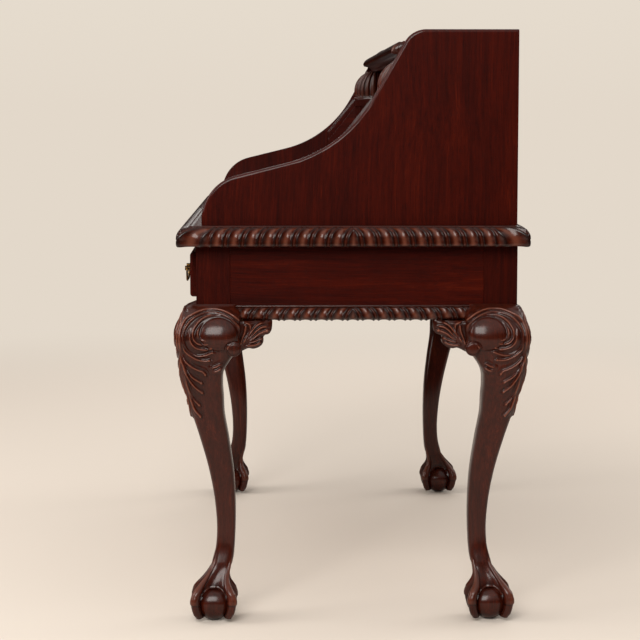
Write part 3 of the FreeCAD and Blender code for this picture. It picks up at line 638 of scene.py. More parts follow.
def kneeStrands():
    # the nested strands of the leaf: each runs from the volute over the dome, or from the outer corner, and
    # hooks inward to its tip
    a = arcLine(*knee["ridgeA"])
    b = arcLine(*knee["ridgeB"])
    c = arcLine(*knee["ridgeC"])
    return [
        {"line": [(19.5, 578.0), (23.6, 570.0), (25.0, 560.0), (19.6, 551.0), (10.1, 548.6)], "fadeIn": 0.3},
        {"line": a + [(33.8, 552.3), (25.3, 543.6), (13.9, 541.4), (-1.5, 545.6)]},
        {"line": [(42.5, 571.0), (40.8, 560.0), (38.6, 546.5), (31.0, 536.9), (17.7, 532.2), (8.2, 531.6),
                  (0.7, 535.0)], "fadeIn": 0.4},
        {"line": b + [(54.0, 556.0), (50.9, 540.7), (42.4, 527.3), (27.2, 519.6), (12.0, 521.0),
                      (-1.8, 526.5)]},
        {"line": [(59.0, 566.0), (56.1, 546.5), (50.0, 529.2), (36.7, 518.0), (23.4, 511.8), (12.0, 510.2),
                  (4.5, 511.0)], "fadeIn": 0.3},
        {"line": c + [(47.0, 590.0), (56.0, 574.0), (60.0, 555.0), (58.4, 534.0), (52.8, 514.0),
                      (40.5, 501.3), (25.3, 492.6), (15.8, 488.8), (12.0, 484.0)]},
        {"line": [(62.0, 545.0), (59.0, 519.6), (53.7, 501.3), (45.2, 487.9), (34.0, 477.0),
                  (19.5, 468.0)], "fadeIn": 0.3},
        {"line": [(57.0, 512.0), (50.5, 491.0), (40.9, 471.4), (29.0, 457.0), (18.5, 449.0)], "fadeIn": 0.3},
        {"line": [(51.0, 482.0), (44.0, 456.0), (35.0, 436.0), (24.0, 424.5)], "fadeIn": 0.3},
        {"line": [(44.0, 452.0), (38.5, 432.0), (31.5, 414.0), (22.0, 402.0)], "fadeIn": 0.3},
        {"line": [(-1.0, 496.8), (-8.0, 498.8), (-15.0, 502.4)], "bead": False},
        {"line": [(-4.5, 489.6), (-10.5, 491.2), (-16.0, 494.6)], "bead": False}]


def kneeRelief(across, up):
    # height of the carving in mm and its painted tone from -1 (shade) to 1 (highlight): the strands, less a
    # cut round the dome, under the dome itself, a round cap, and beside it a smaller one with a rim for the
    # volute
    crest, groove, bank = carvedStrands(across, up, kneeStrands(), knee["cut"])
    height = bank + crest - groove
    domeX, domeZ, domeWide, domeTall, domeHeight = knee["dome"]
    domeShare = np.hypot((across - domeX) / domeWide, (up - domeZ) / domeTall)
    dome = domeHeight * cap(domeShare)
    moat = bell(domeShare, *knee["moat"])
    height = np.maximum(height - moat, dome)
    voluteX, voluteZ, voluteRadius, voluteHeight = knee["volute"]
    voluteShare = np.hypot(across - voluteX, up - voluteZ) / voluteRadius
    bead = voluteHeight * cap(voluteShare) + knee["voluteStep"] * (voluteShare < 1)
    rim = bell(voluteShare, *knee["voluteRim"]) * smoothStep(up - voluteZ, *knee["rimRise"])
    scroll = np.maximum(np.maximum(height * smoothStep(voluteShare, *knee["scrollRise"]), bead), rim)
    height = np.where(voluteShare < knee["voluteZone"], scroll, height)
    # painted light and shade: the higher the carving the lighter, its ground darker in the cuts, the dome
    # lighter towards its top
    tone = np.clip((height - knee["cut"]["bankHeight"]) / knee["lightRise"], -1, 1)
    ground = knee["groundShade"] * smoothStep(groove + moat, *knee["groundCuts"])
    tone = np.where(height < knee["groundBelow"], ground, tone)
    tone = np.where((dome > 0.5) & (height <= dome + 0.01), knee["domeHighlight"] * dome / domeHeight, tone)
    return height, tone


def legLevels(share):
    ankle = leg["ankleShare"]
    lower = leg["footHeight"] * share / ankle
    upper = leg["footHeight"] + (friezeBottom - leg["footHeight"]) * (share - ankle) / (1 - ankle)
    return np.where(share < ankle, lower, upper)


def shaftRadius(turn, height):
    # the leg's sections: soft squares of power n = 2 + 6 (1 - 2 corner), as wide as the stations say
    table = np.array(leg["stations"])
    levels = legLevels(table[:, 0])
    wide = hermite(height, levels, table[:, 2]) * leg["kneeWidth"] / 2
    shoulder = np.array(leg["shoulder"])
    raised = hermite(height, legLevels(shoulder[:, 0]), shoulder[:, 1]) * leg["kneeWidth"] / 2
    deep = np.where(height > legLevels(shoulder[0, 0]), raised, wide)
    power = 2 * (1 + 3 * (1 - 2 * hermite(height, levels, table[:, 3])))
    return softSquare(turn, wide, deep, power)


def shaftShift(height):
    table = np.array(leg["stations"])
    return hermite(np.maximum(height, leg["throwFrom"]), legLevels(table[:, 0]), table[:, 1]) * leg["throw"]


def ballRadiusAt(height):
    centre = foot["ballRadius"] - foot["ballFlat"]
    return np.sqrt(np.clip(foot["ballRadius"] ** 2 - (height - centre) ** 2, 0, None))


def ballPart():
    # the ball: r = R sin(share), z = R (1 - cos(share)), its middle sections soft squares
    share = np.linspace(0, math.pi, foot["ballRows"])[:, None]
    height = foot["ballRadius"] * (1 - np.cos(share)) - foot["ballFlat"]
    turn = fullTurn(foot["ballColumns"])
    square = 1 + (softSquare(turn, 1, 1, foot["ballSquare"]) - 1) * np.sin(share) ** foot["squareFade"]
    radius = (foot["ballRadius"] * np.sin(share) + 0.02) * square
    height = np.maximum(height, 0) * np.ones_like(turn)
    points = np.stack([radius * np.cos(turn), radius * np.sin(turn), height], axis=-1)
    offToe = np.abs((turn % (math.pi / 2)) - math.pi / 4)
    # painted shade on the ball in line with the toes, and painted shadow under the hood
    shade = np.maximum(bell(offToe, 0, foot["ballShadeWide"]), smoothStep(height, *foot["ballShadeTop"]))
    return tubePart(points, foot["ballTone"] - foot["ballShade"] * shade)


def toePart(turnDegrees):
    # a toe: level sections, a half ellipse outside and a tail thinning as sine cubed inside, and a blunt nail
    share = np.linspace(0, 1, foot["toeRows"])
    top = foot["toeHeights"][-1]
    height = foot["toeTip"] + (top - foot["toeTip"]) * share ** foot["toeCrowd"]
    near = np.maximum(height, foot["toeHeights"][0])
    middle = hermite(near, foot["toeHeights"], foot["toeMiddles"])
    half = hermite(near, foot["toeHeights"], foot["toeHalves"])
    blunt = np.clip((height - foot["toeTip"]) / (foot["toeHeights"][0] - foot["toeTip"]), 0, 1)
    blunt = foot["bluntShare"] + (1 - foot["bluntShare"]) * cap(1 - blunt)
    turn = fullTurn(foot["toeColumns"])
    inner = np.cos(turn) < 0
    tail = foot["toeTail"] * (1 - foot["tailLoss"] * smoothStep(height, *foot["tailThins"]))[:, None]
    out = np.where(inner, tail, half[:, None] * foot["toeSwell"]) * np.cos(turn) * blunt[:, None]
    side = half[:, None] * np.sin(turn) * np.where(inner, np.sin(turn) ** 2, 1.0) * blunt[:, None]
    reach = middle[:, None] + out
    way = math.radians(turnDegrees)
    shift = np.where(height < foot["toeShiftFrom"], 0, shaftShift(height))[:, None]
    x = shift + reach * math.cos(way) - side * math.sin(way)
    y = shift + reach * math.sin(way) + side * math.cos(way)
    tone = np.where(inner, foot["toeShade"] * np.abs(np.cos(turn)), foot["toeLight"] * np.cos(turn) ** 2)
    tone = tone * np.ones_like(reach)
    # a painted shade line at the cuticle, where the nail meets the flesh
    cuticle = bell(height, *foot["cuticleShade"])[:, None]
    flesh = smoothStep(height, foot["cuticle"] - 1, foot["cuticle"] + 1)[:, None]
    tone = np.clip(tone + foot["nailShade"] * flesh - cuticle, -1, 0.8) - foot["nailShade"] * (1 - flesh)
    return tubePart(np.stack([x, y, height[:, None] * np.ones_like(reach)], axis=-1), tone)


def volutePart():
    # the scroll's round end below the dome, past the leg's edge: out sqrt(1 - r^roundPower), less a ring cut
    share = np.linspace(0, 1, volute["rings"])[:, None]
    turn = fullTurn(volute["columns"])
    radius = volute["radius"] * share
    swirl = bell(share, *volute["swirl"])
    depth = volute["out"] * np.sqrt(1 - share ** volute["roundPower"]) - volute["swirlDepth"] * swirl
    back = np.array(volute["backShares"])[:, None] * volute["radius"]
    radius = np.vstack([radius + 0.05, back]) * np.ones_like(turn)
    depth = np.vstack([depth, np.full_like(back, -volute["deep"])]) * np.ones_like(turn)
    # painted shade in the ring cut and a faint painted highlight over the face
    tone = np.vstack([volute["swirlShade"] * swirl + volute["faceHighlight"], np.zeros_like(back)])
    tone = tone * np.ones_like(turn)
    return radius * np.cos(turn), radius * np.sin(turn), depth, tone


def legSurface():
    # (rows, columns, 3) of the leg about its own axis, in mm, outward along +X and +Y, and its relief
    outer = np.linspace(leg["outerFrom"], leg["outerTo"], leg["outerColumns"], endpoint=False)
    inner = np.linspace(leg["outerTo"], leg["outerFrom"] + 360, leg["innerColumns"], endpoint=False)
    turn = np.radians(np.concatenate([outer, inner]))[None, :]
    offToe = np.abs((turn % (math.pi / 2)) - math.pi / 4)
    fromFace = 1 - offToe / (math.pi / 4)
    # the hood over the ball: its rim is an arch between two toes, its wall runs up into the shank
    rim = foot["rimTop"] - foot["rimDrop"] * fromFace ** foot["rimPower"]
    rimRadius = ballRadiusAt(rim - 1.5) + foot["rimThick"]
    share = np.linspace(0, 1, leg["webRows"])[:, None] ** foot["webCrowd"]
    webHeight = rim + 1.0 + (leg["footTop"] - rim - 1.0) * share
    climb = np.clip((webHeight - rim) / (foot["webTop"] - rim), 0, 1)
    shaftHere = shaftRadius(turn, webHeight)
    web = shaftHere + (rimRadius - shaftHere) * (1 - climb) ** foot["webFall"]
    betweenToes = np.cos(2 * (offToe - math.pi / 4)) ** 2
    web = web - foot["valley"] * np.sin(math.pi * np.clip(climb, 0, 1)) ** 1.5 * betweenToes
    overRim = webHeight - rim
    web = web + bell(overRim, *foot["rimBead"])
    lipHeight = np.vstack([rim - down for down in foot["lipDown"]])
    lipRadius = np.vstack([np.full_like(rim, foot["lipInnerRadius"])]
                          + [rimRadius - step for step in foot["lipIn"]])
    # a painted highlight line just over the rim and a painted shade line above it
    rimTone = bell(overRim, *foot["rimLight"]) - bell(overRim, *foot["rimShade"])

    shank = np.linspace(leg["footTop"], leg["carvingFoot"], leg["shankRows"] + 2)[1:-1, None]
    top = float(legLevels(np.array(leg["top"])))
    carved = np.linspace(leg["carvingFoot"], top, leg["kneeRows"])[:, None]
    upper = np.vstack([shank, carved]) * np.ones_like(turn)
    height = np.vstack([lipHeight, webHeight, upper])
    radius = np.vstack([lipRadius, web, shaftRadius(turn, upper)])
    shift = shaftShift(height) * smoothStep(height, leg["throwFrom"], leg["throwFull"])
    points = np.stack([shift + radius * np.cos(turn), shift + radius * np.sin(turn), height], axis=-1)

    knees = len(lipHeight) + len(webHeight) + len(shank)
    block = points[knees:]
    along = np.stack([np.gradient(block[..., i], axis=0) for i in range(3)], axis=-1)
    around = np.roll(block, -1, axis=1) - np.roll(block, 1, axis=1)
    normal = np.cross(around, along)
    normal /= np.linalg.norm(normal, axis=-1, keepdims=True) + 1e-9
    across = np.minimum(block[..., 0], block[..., 1])
    relief, tone = kneeRelief(across, block[..., 2])
    low = leg["carvingFoot"]
    zone = smoothStep(block[..., 2], low, low + knee["fadeUp"]) * smoothStep(across, *knee["fadeSide"])
    zone = zone * (1 - smoothStep(block[..., 2], friezeBottom - knee["fadeTop"], friezeBottom))
    sunk = knee["groundSink"] * smoothStep(block[..., 2], low, knee["sinkTop"])
    sunk = sunk * smoothStep(across, *knee["sinkSide"])
    points[knees:] = block + normal * ((relief - sunk) * zone)[..., None]
    tones = np.vstack([np.zeros(lipHeight.shape), rimTone, np.zeros(shank.shape) * turn, tone * zone])
    return points, tones


legPoints, legTones = legSurface()
legAxisX = edgeHigh[0] - leg["inset"]
legAxisY = edgeHigh[1] - leg["inset"]
postWidth = friezeX - backHigh[0]
for number, (place, sx, sy) in enumerate((("back_right", 1, 1), ("front_right", 1, -1), ("back_left", -1, 1),
                                          ("front_left", -1, -1))):
    wholeLeg = [tubePart(legPoints, legTones), ballPart()] + [toePart(45 + 90 * k) for k in range(4)]
    across, up, depth, tone = volutePart()
    voluteX, voluteZ = knee["volute"][:2]
    faceX = shaftRadius(0.0, voluteZ) + shaftShift(voluteZ) - volute["sunk"]
    disc = np.stack([faceX + depth, voluteX - volute["past"] + across, voluteZ + up], axis=-1)
    wholeLeg += [tubePart(disc, tone), tubePart(disc[..., [1, 0, 2]], tone)]
    axis = (sx * legAxisX * mm, sy * legAxisY * mm, 0)
    placed = [moved(part, (sx * mm, sy * mm, mm), axis) for part in wholeLeg]
    addPiece("leg_" + place + "_carved", placed, carvedWood, "frame", ["leg_" + place], seed=number * 2.3 + 1)
    face = friezeFront if sy < 0 else friezeBack
    nearY, farY = sorted([face, face - sy * postWidth])
    nearX, farX = sorted([sx * friezeX, sx * (friezeX - postWidth)])
    # the posts are a shade darker than the rails between them
    post = boxPart(np.array([nearX, nearY, friezeBottom]) * mm, np.array([farX, farY, friezeTop]) * mm,
                   leg["postTone"])
    addPiece("leg_" + place + "_post", [post], panelWood, "frame", ["leg_" + place], seed=number * 1.9 + 5,
             bevelMm=0.8)
print("legs carved")


# Gadrooned mouldings: slanting lobes carried along a profile

lobe = {"broad": 0.60, "broadPower": 0.6, "narrow": 0.24, "narrowPower": 0.8, "narrowHeight": 0.80,
        # share of the belly over which the lobes rise, the run over which they stop, gain and limits of the
        # painted tone: highlight on the lobes, shade in the grooves
        "rise": 0.16, "stop": 2.0, "toneGain": 1.7, "toneLimits": (-1, 0.7)}


def lobeShape(phase):
    # each repeat has a broad round lobe and a narrow ridge, each a half sine to its own power
    part = phase % 1.0
    broad = np.sin(math.pi * np.clip(part / lobe["broad"], 0, 1)) ** lobe["broadPower"]
    start = lobe["broad"] + (1 - lobe["broad"] - lobe["narrow"]) / 2
    narrow = np.sin(math.pi * np.clip((part - start) / lobe["narrow"], 0, 1)) ** lobe["narrowPower"]
    return np.maximum(broad, lobe["narrowHeight"] * narrow)


def profileNormals(profile):
    ahead = np.roll(profile, -1, axis=0) - np.roll(profile, 1, axis=0)
    normal = np.column_stack([ahead[:, 1], -ahead[:, 0]])
    return normal / (np.linalg.norm(normal, axis=1, keepdims=True) + 1e-9)


def bellyShare(profile, first, belly):
    # the share of the belly's length run so far at each of its points, and -1 on the rest of the profile
    share = np.full(len(profile), -1.0)
    run = runLength(belly)
    share[first:first + len(belly)] = run / run[-1]
    return share


def sweptPart(offset, alongs, face, outward, direction, tone):
    # a run of sections in mm: offset holds outward and height, alongs the place along the run
    outs = face + offset[..., 0]
    x = outs * outward[0] + alongs * direction[0]
    y = outs * outward[1] + alongs * direction[1]
    return tubePart(np.stack([x, y, offset[..., 1]], axis=-1) * mm, tone)


tableEdge = {"pitch": 32.0, "slant": 27.0, "relief": 4.8, "sink": 3.6, "start": 0.32, "endFade": 0.9,
             "endDrop": 0.8, "step": 1.15, "fillet": 8.0, "filletStep": 3.0, "filletRound": (1.0, 0.6),
             "stepRound": 0.3, "bellyTop": 10.0, "bellyTall": 19.0, "tuck": 4.0, "foot": 6.0,
             "plainCorner": 9.0, "mitre": 30.0,
             # the groove at the corner: depth, how far past the lobes, width
             "cornerGroove": (1.4, 2.0, 1.0)}


def edgeProfile(width, low, high):
    # outward and height: a flat fillet, a step down, the belly as a quarter ellipse, a tucked foot, and back
    look = tableEdge
    turn = np.linspace(0, math.pi / 2, 15)
    top = high - look["filletStep"]
    belly = np.column_stack([look["bellyTop"] + (width - look["bellyTop"]) * np.sin(turn),
                             top - look["bellyTall"] * (1 - np.cos(turn))])
    footTop = low + look["foot"]
    down = np.linspace(0, 1, 10)[1:, None]
    wall = belly[-1] + (np.array([width, footTop]) - belly[-1]) * down
    foldTurn = np.linspace(0, math.pi / 2, 6)[1:]
    fold = np.column_stack([width - look["tuck"] * (1 - np.cos(foldTurn)),
                            footTop - look["foot"] * np.sin(foldTurn)])
    belly = np.vstack([belly, wall, fold])
    roundIn, roundDown = look["filletRound"]
    lead = np.array([[0.0, low], [0.0, high], [look["fillet"] - roundIn, high],
                     [look["fillet"], high - roundDown],
                     [look["fillet"] + look["stepRound"], top + look["stepRound"]]])
    close = np.array([[width / 2, low]])
    profile = np.vstack([lead, belly, close])
    return profile, bellyShare(profile, len(lead), belly)


pastEnd = 40.0      # reach of a run whose lobes go on to its very end


def gadroonRelief(alongRun, share, look, reach):
    # lobes mirrored at the middle of the run, their tops leaning towards it; by the place along the run s and
    # the share down the belly v: phase = (|s| + slant (1 - v)^3) / pitch + start, height = relief lobe - sink
    v = np.clip(share, 0, 1)[None, :]
    phase = (np.abs(alongRun)[:, None] + look["slant"] * (1 - v) ** 3) / look["pitch"] + look["start"]
    lobes = lobeShape(phase)
    envelope = smoothStep(v, 0.0, lobe["rise"]) * (1 - smoothStep(v, look["endFade"], 1.0) * look["endDrop"])
    envelope = envelope * (share >= 0)[None, :]
    body = 1 - smoothStep(np.abs(alongRun)[:, None], reach - lobe["stop"], reach)
    height = (look["relief"] * lobes - look["sink"]) * envelope * body
    # painted highlight on the lobes' tops and painted shade in the grooves between them
    tone = np.clip(lobes * lobe["toneGain"] - 1.0, *lobe["toneLimits"]) * envelope * body
    return height, tone


def tableEdgePieces():
    # four mitred runs round the board: each end is pushed out along the run by its own projection, and a
    # groove is cut across where the lobes stop, before the plain corner
    look = tableEdge
    width = edgeHigh[0] - boardHigh[0]
    profile, share = edgeProfile(width, edgeLow[2], edgeHigh[2])
    normals = profileNormals(profile)
    grooveDepth, groovePast, grooveWidth = look["cornerGroove"]
    runs = [("right", boardHigh[1], (1, 0), (0, 1), boardHigh[0]),
            ("back", boardHigh[0], (0, 1), (-1, 0), boardHigh[1]),
            ("left", boardHigh[1], (-1, 0), (0, -1), boardHigh[0]),
            ("front", boardHigh[0], (0, -1), (1, 0), boardHigh[1])]
    for name, half, outward, direction, face in runs:
        run = np.linspace(-half, half, int(2 * half / look["step"]) + 1)
        lobesEnd = half + width - look["plainCorner"]
        relief, tone = gadroonRelief(run, share, look, lobesEnd)
        groove = bell(np.abs(run), lobesEnd + groovePast, grooveWidth)[:, None] * (share > 0)[None]
        relief = relief - grooveDepth * groove
        # painted shade in the corner groove
        tone = tone - groove
        offset = profile[None] + normals[None] * relief[..., None]
        spread = np.clip((np.abs(run) - half) / look["mitre"] + 1, 0, 1)[:, None] * np.sign(run)[:, None]
        alongs = run[:, None] + spread * offset[..., 0]
        part = sweptPart(offset, alongs, face, outward, direction, tone)
        addPiece("table_edge_gadroon_" + name, [part], carvedWood, "frame", ["table_edge_mouldings"],
                 grain=1 if outward[0] else 0, seed=3.1 + half * 0.01)


tableEdgePieces()

apron = {"pitch": 30.0, "slant": 18.0, "relief": 4.6, "sink": 3.2, "start": 0.32, "endFade": 0.72,
         "endDrop": 0.62, "step": 1.25, "fillet": 4.0, "bulge": 6.0, "bellyBack": 2.5, "back": 22.0,
         "endInset": 30.0}


def apronProfile(low, high):
    # outward from the rail's face and height: a fillet, the belly as a half ellipse, a rounded lip under it
    look = apron
    turn = np.linspace(0, math.pi * 0.62, 20)
    middle = (low + high - look["fillet"]) / 2 - 1
    tall = high - look["fillet"] - middle
    belly = np.column_stack([(look["bulge"] + look["bellyBack"]) * np.sin(turn) - look["bellyBack"],
                             middle + tall * np.cos(turn)])
    lip = np.array([[1.5, low + 3.5], [-1.5, low + 1.2], [-6, low + 0.4]])
    belly = np.vstack([belly, lip])
    lead = np.array([[-look["back"], low + 1], [-look["back"], high], [-1.0, high], [0.0, high - 0.8],
                     [0.0, high - look["fillet"] + 0.6], [-1.0, high - look["fillet"]]])
    profile = np.vstack([lead, belly])
    return profile, bellyShare(profile, len(lead), belly)


def apronPiece():
    look = apron
    profile, share = apronProfile(apronLow[2], apronHigh[2])
    normals = profileNormals(profile)
    parts = []
    runs = [(legAxisY, (1, 0), (0, 1), friezeX), (legAxisX, (0, 1), (-1, 0), friezeBack),
            (legAxisY, (-1, 0), (0, -1), friezeX), (legAxisX, (0, -1), (1, 0), -friezeFront)]
    for axis, outward, direction, face in runs:
        half = axis - look["endInset"]
        run = np.linspace(-half, half, int(2 * half / look["step"]))
        relief, tone = gadroonRelief(run, share, look, half + pastEnd)
        offset = profile[None] + normals[None] * relief[..., None]
        parts.append(sweptPart(offset, run[:, None], face, outward, direction, tone))
    addPiece("apron_gadroon", parts, carvedWood, "frame", ["apron_mouldings"], grain=1, seed=4.4)


apronPiece()
print("gadroons cut")


# Brackets: a carved leaf beside each knee, a slab whose face is modelled over its outline

bracket = {
    # reach from the knee's edge and drop below the apron, round the outline
    "outline": [(-16, 0), (14, 0), (36, 0), (58, 0), (58.5, 9), (56.5, 19), (52, 25), (44, 27.5), (41.5, 32),
                (42, 38), (39, 45), (30, 51), (22, 52.5), (14, 51), (6, 54), (-2, 58), (-16, 61)],
    "centre": (17, 26), "kneeEdge": 54.85, "swell": 17.0, "bulge": 6.0, "sunk": 2.5, "leanReach": 62.0,
    "leanPower": 1.3, "back": 20.0, "backShares": (1.0, 0.5, 0.02),
    "strands": [
        {"line": [(-2, 46), (2, 34), (7, 20), (9, 8)], "bead": False},
        {"line": [(4, 42), (9, 33), (16, 22), (18, 13), (14, 5), (8, 3)], "bead": False},
        {"line": [(12, 36), (20, 20), (29, 9), (38, 3.5)], "bead": False},
        {"line": [(13, 37), (22, 27), (31, 17), (40, 11.5), (47, 10.5)], "bead": False},
        {"line": [(14, 40), (24, 32), (34, 24), (43, 20), (49, 18)]},
        {"line": [(14, 43), (24, 39), (33, 36), (39, 33)], "bead": False},
        {"line": [(10, 46), (20, 46), (30, 44), (36, 41)], "bead": False}],
    "cut": {"ridgeHeight": 2.6, "ridgeWidth": 1.9, "beadHeight": 3.6, "beadRadius": 3.4, "grooveDepth": 2.0,
            "grooveOffset": 3.4, "grooveWidth": 1.7, "bankHeight": 0.8, "bankReach": 8.0},
    "rings": 26, "firstRing": 0.02, "edgeRound": 3.5, "edgeFrom": 0.72}


def bracketSurface():
    # closed outline shrunk towards its centre ring by ring: front rings with relief, then the flat back; the
    # face swells towards the knee: depth = bulge + (swell - bulge) (1 - reach / leanReach)^leanPower - sunk
    look = bracket
    closed = look["outline"] + [look["outline"][0]]
    outline = smoothPath(closed, 7)[:-1]
    centre = np.array(look["centre"], float)
    share = np.linspace(look["firstRing"], 1, look["rings"])[:, None, None]
    flat = centre + (outline[None] - centre) * share
    crest, groove, bank = carvedStrands(flat[..., 0], flat[..., 1], look["strands"], look["cut"])
    lean = np.clip(1 - flat[..., 0] / look["leanReach"], 0, 1.1)
    depth = look["bulge"] + (look["swell"] - look["bulge"]) * lean ** look["leanPower"] - look["sunk"]
    fall = look["edgeRound"] * smoothStep(share[..., 0], look["edgeFrom"], 1.0) ** 2
    depth = depth + bank + crest - groove - fall
    # painted highlight on the raised strands and beads, painted shade in the cuts
    tone = np.clip((bank + crest - groove - look["cut"]["bankHeight"]) / look["cut"]["ridgeHeight"], -1, 1)
    front = np.stack([flat[..., 0], depth, flat[..., 1]], axis=-1)
    backFlat = centre + (outline[None] - centre) * np.array(look["backShares"])[:, None, None]
    back = np.stack([backFlat[..., 0], np.full(backFlat.shape[:2], -look["back"]), backFlat[..., 1]], axis=-1)
    tones = np.vstack([tone, np.zeros(back.shape[:2])])
    return np.vstack([front, back]), tones


def bracketPiece():
    points, tones = bracketSurface()
    reach = points[..., 0]
    depth = points[..., 1]
    height = apronLow[2] - points[..., 2]
    parts = []
    for sx in (1, -1):
        for sy, face in ((1, friezeBack), (-1, -friezeFront)):
            alongY = legAxisY - bracket["kneeEdge"] - reach
            side = np.stack([sx * (friezeX + depth), sy * alongY, height], axis=-1)
            alongX = legAxisX - bracket["kneeEdge"] - reach
            end = np.stack([sx * alongX, sy * (face + depth), height], axis=-1)
            parts += [tubePart(side * mm, tones), tubePart(end * mm, tones)]
    addPiece("knee_bracket_leaves", parts, carvedWood, "frame", ["knee_brackets"], grain=2, seed=6.2)


bracketPiece()


# Corbels and cornice of the upper tier

corbelLow, corbelHigh = nodeBox("corbels")
corniceLow, corniceHigh = nodeBox("cornice_moulding")
corbel = {
    "halfWidth": 26.0, "foot": 56.0, "square": 2.5, "reeds": 12, "reedPower": 0.65, "relief": 2.8,
    "reedsFrom": (0.10, 0.16), "widthFloor": 0.62, "cutRise": 0.4,
    # painted tone: a painted shade line round the collar, the gain and limits of the reeds' painted highlight
    # and shade
    "collarShade": (0.105, 0.012, 0.8), "toneGain": 1.5, "toneLimits": (-1, 0.4),
    # height and size of the section, as shares: a base bead, a neck, the upright bulb, then back to the head
    "heights": [0.0, 0.03, 0.07, 0.10, 0.13, 0.18, 0.30, 0.42, 0.54, 0.66, 0.78, 0.88, 0.95, 1.0],
    "sizes": [0.97, 1.02, 1.02, 0.95, 0.955, 0.99, 1.01, 1.0, 0.965, 0.90, 0.79, 0.66, 0.53, 0.47],
    "rows": 60, "columns": 132}


def corbelSurface():
    # a reeded half bulb: each section is |x / a|^n + |y / b|^n = 1 before the pilaster, cut by round reeds
    look = corbel
    rise = corbelHigh[2] - corbelLow[2]
    share = np.linspace(0, 1, look["rows"])[:, None]
    size = hermite(share, look["heights"], look["sizes"])
    turn = np.linspace(-math.pi / 2, math.pi / 2, look["columns"])[None, :]
    reed = np.abs(np.sin((turn / math.pi + 0.5) * look["reeds"] * math.pi)) ** look["reedPower"]
    reeded = smoothStep(share, *look["reedsFrom"])
    cut = look["relief"] / look["foot"] * (reed - 1) * reeded * (1 + look["cutRise"] * share)
    power = 2 / look["square"]
    narrowing = look["widthFloor"] + (1 - look["widthFloor"]) * size
    wide = look["halfWidth"] * narrowing * (1 + cut * look["foot"] / look["halfWidth"])
    deep = look["foot"] * size * (1 + cut)
    x = wide * np.sign(np.sin(turn)) * np.abs(np.sin(turn)) ** power
    y = -deep * np.abs(np.cos(turn)) ** power
    # painted highlight on the reeds, painted shade between them and in a line round the collar
    tone = np.clip(look["toneGain"] * reed - 1.0, *look["toneLimits"]) * reeded - bell(share, *look["collarShade"])
    return np.stack([x, y, share * rise * np.ones_like(turn)], axis=-1), tone


corbelPoints, corbelTones = corbelSurface()
corbelMiddle = corbelHigh[0] - corbel["halfWidth"]
corbelParts = []
for sx in (1, -1):
    place = corbelPoints + np.array([sx * corbelMiddle, corbelHigh[1], corbelLow[2]])
    corbelParts.append(tubePart(place * mm, corbelTones))
addPiece("corbels_reeded", corbelParts, carvedWood, "frame", ["corbels"], grain=2, seed=7.7)

cornice = {"pitch": 11.0, "slant": 5.0, "relief": 1.9, "sink": 1.3, "start": 0.0, "endFade": 0.95,
           "endDrop": 0.8, "step": 1.15, "lean": 20.0, "topRound": 1.6, "lip": 17.0, "rise": 6.0,
           "facePower": 0.8, "coveDeep": 17.0, "coveFrom": 0.1,
           # how far in the top's edge lies, and steps in and down from the lip: its front, the cove's start
           "topEdge": (2.0, 1.2), "lipSteps": [(0.0, 2.2), (1.6, 3.4)], "coveStep": (2.0, 4.0)}


def cornicePiece():
    # outward and up: a flat top, the leaning gadrooned ovolo, a lip and a cove back under it; on the ovolo
    # outward = inner + lean sin(q), up = shoulder - (shoulder - lip) (1 - cos(q))^facePower
    look = cornice
    deep = corniceHigh[1] - corniceLow[1]
    tall = corniceHigh[2] - corniceLow[2] + look["rise"]
    inner = deep - look["lean"]
    shoulder = tall - look["topRound"]
    topIn, shoulderIn = look["topEdge"]
    lead = np.array([[0.0, 0.0], [0.0, tall], [inner - topIn, tall], [inner - shoulderIn, shoulder]])
    turn = np.linspace(0, 1, 20)
    quarter = turn * math.pi / 2
    face = np.column_stack([inner + look["lean"] * np.sin(quarter),
                            shoulder - (shoulder - look["lip"]) * (1 - np.cos(quarter)) ** look["facePower"]])
    edge = np.array([deep, look["lip"]])
    lip = edge - np.array(look["lipSteps"])
    bend = np.linspace(look["coveFrom"], 1, 8) * math.pi / 2
    coveOut, coveTop = edge - np.array(look["coveStep"])
    cove = np.column_stack([coveOut - look["coveDeep"] * np.sin(bend), coveTop * np.cos(bend)])
    profile = np.vstack([lead, face, lip, cove])
    share = np.full(len(profile), -1.0)
    share[len(lead):len(lead) + len(face)] = turn
    normals = profileNormals(profile)
    half = corniceHigh[0]
    run = np.linspace(-half, half, int(2 * half / look["step"]))
    relief, tone = gadroonRelief(run, share, look, half + pastEnd)
    offset = profile[None] + normals[None] * relief[..., None] + np.array([0, corniceLow[2]])
    part = sweptPart(offset, run[:, None], -corniceHigh[1], (0, -1), (1, 0), tone)
    addPiece("cornice_gadroon", [part], carvedWood, "frame", ["cornice_moulding"], grain=0, seed=8.8)


cornicePiece()
print("corbels and cornice cut")


# Boards: merged copies with rounded arrises; the grain follows the longest side unless named

upright = 2
grains = [(None, ["side_rails", "back_rail", "front_rails", "back_false_fronts"]),
          (0, ["table_top"]), (upright, ["gallery_side_left", "gallery_side_right"]),
          (0, ["gallery_floor", "gallery_back", "gallery_shelf", "gallery_top", "wing_tops"]),
          (None, ["tier_partitions", "pigeonhole_dividers"]), (upright, ["upper_pilasters"]),
          (0, ["drawer_left_front", "drawer_centre_front", "drawer_right_front"])]
for grain, nodes in grains:
    for node in nodes:
        dressNode(node, panelWood, grain=grain)
for node in frame["nodes"]:
    if node.startswith(("tier_drawer", "wing_drawer")) and node.endswith("_front"):
        dressNode(node, panelWood, grain=0)
    if node.endswith(("_box", "_bottom")) or node == "drawer_runners":
        dressNode(node, oak, bevelMm=0.5)
    if node.endswith("_pull_plate") or node.startswith("bail") or node.endswith("_knob"):
        dressNode(node, brass, bevelMm=0.3)
dressNode("writing_leather", leather, bevelMm=0.3)
print("boards dressed")


# Stage, camera and light

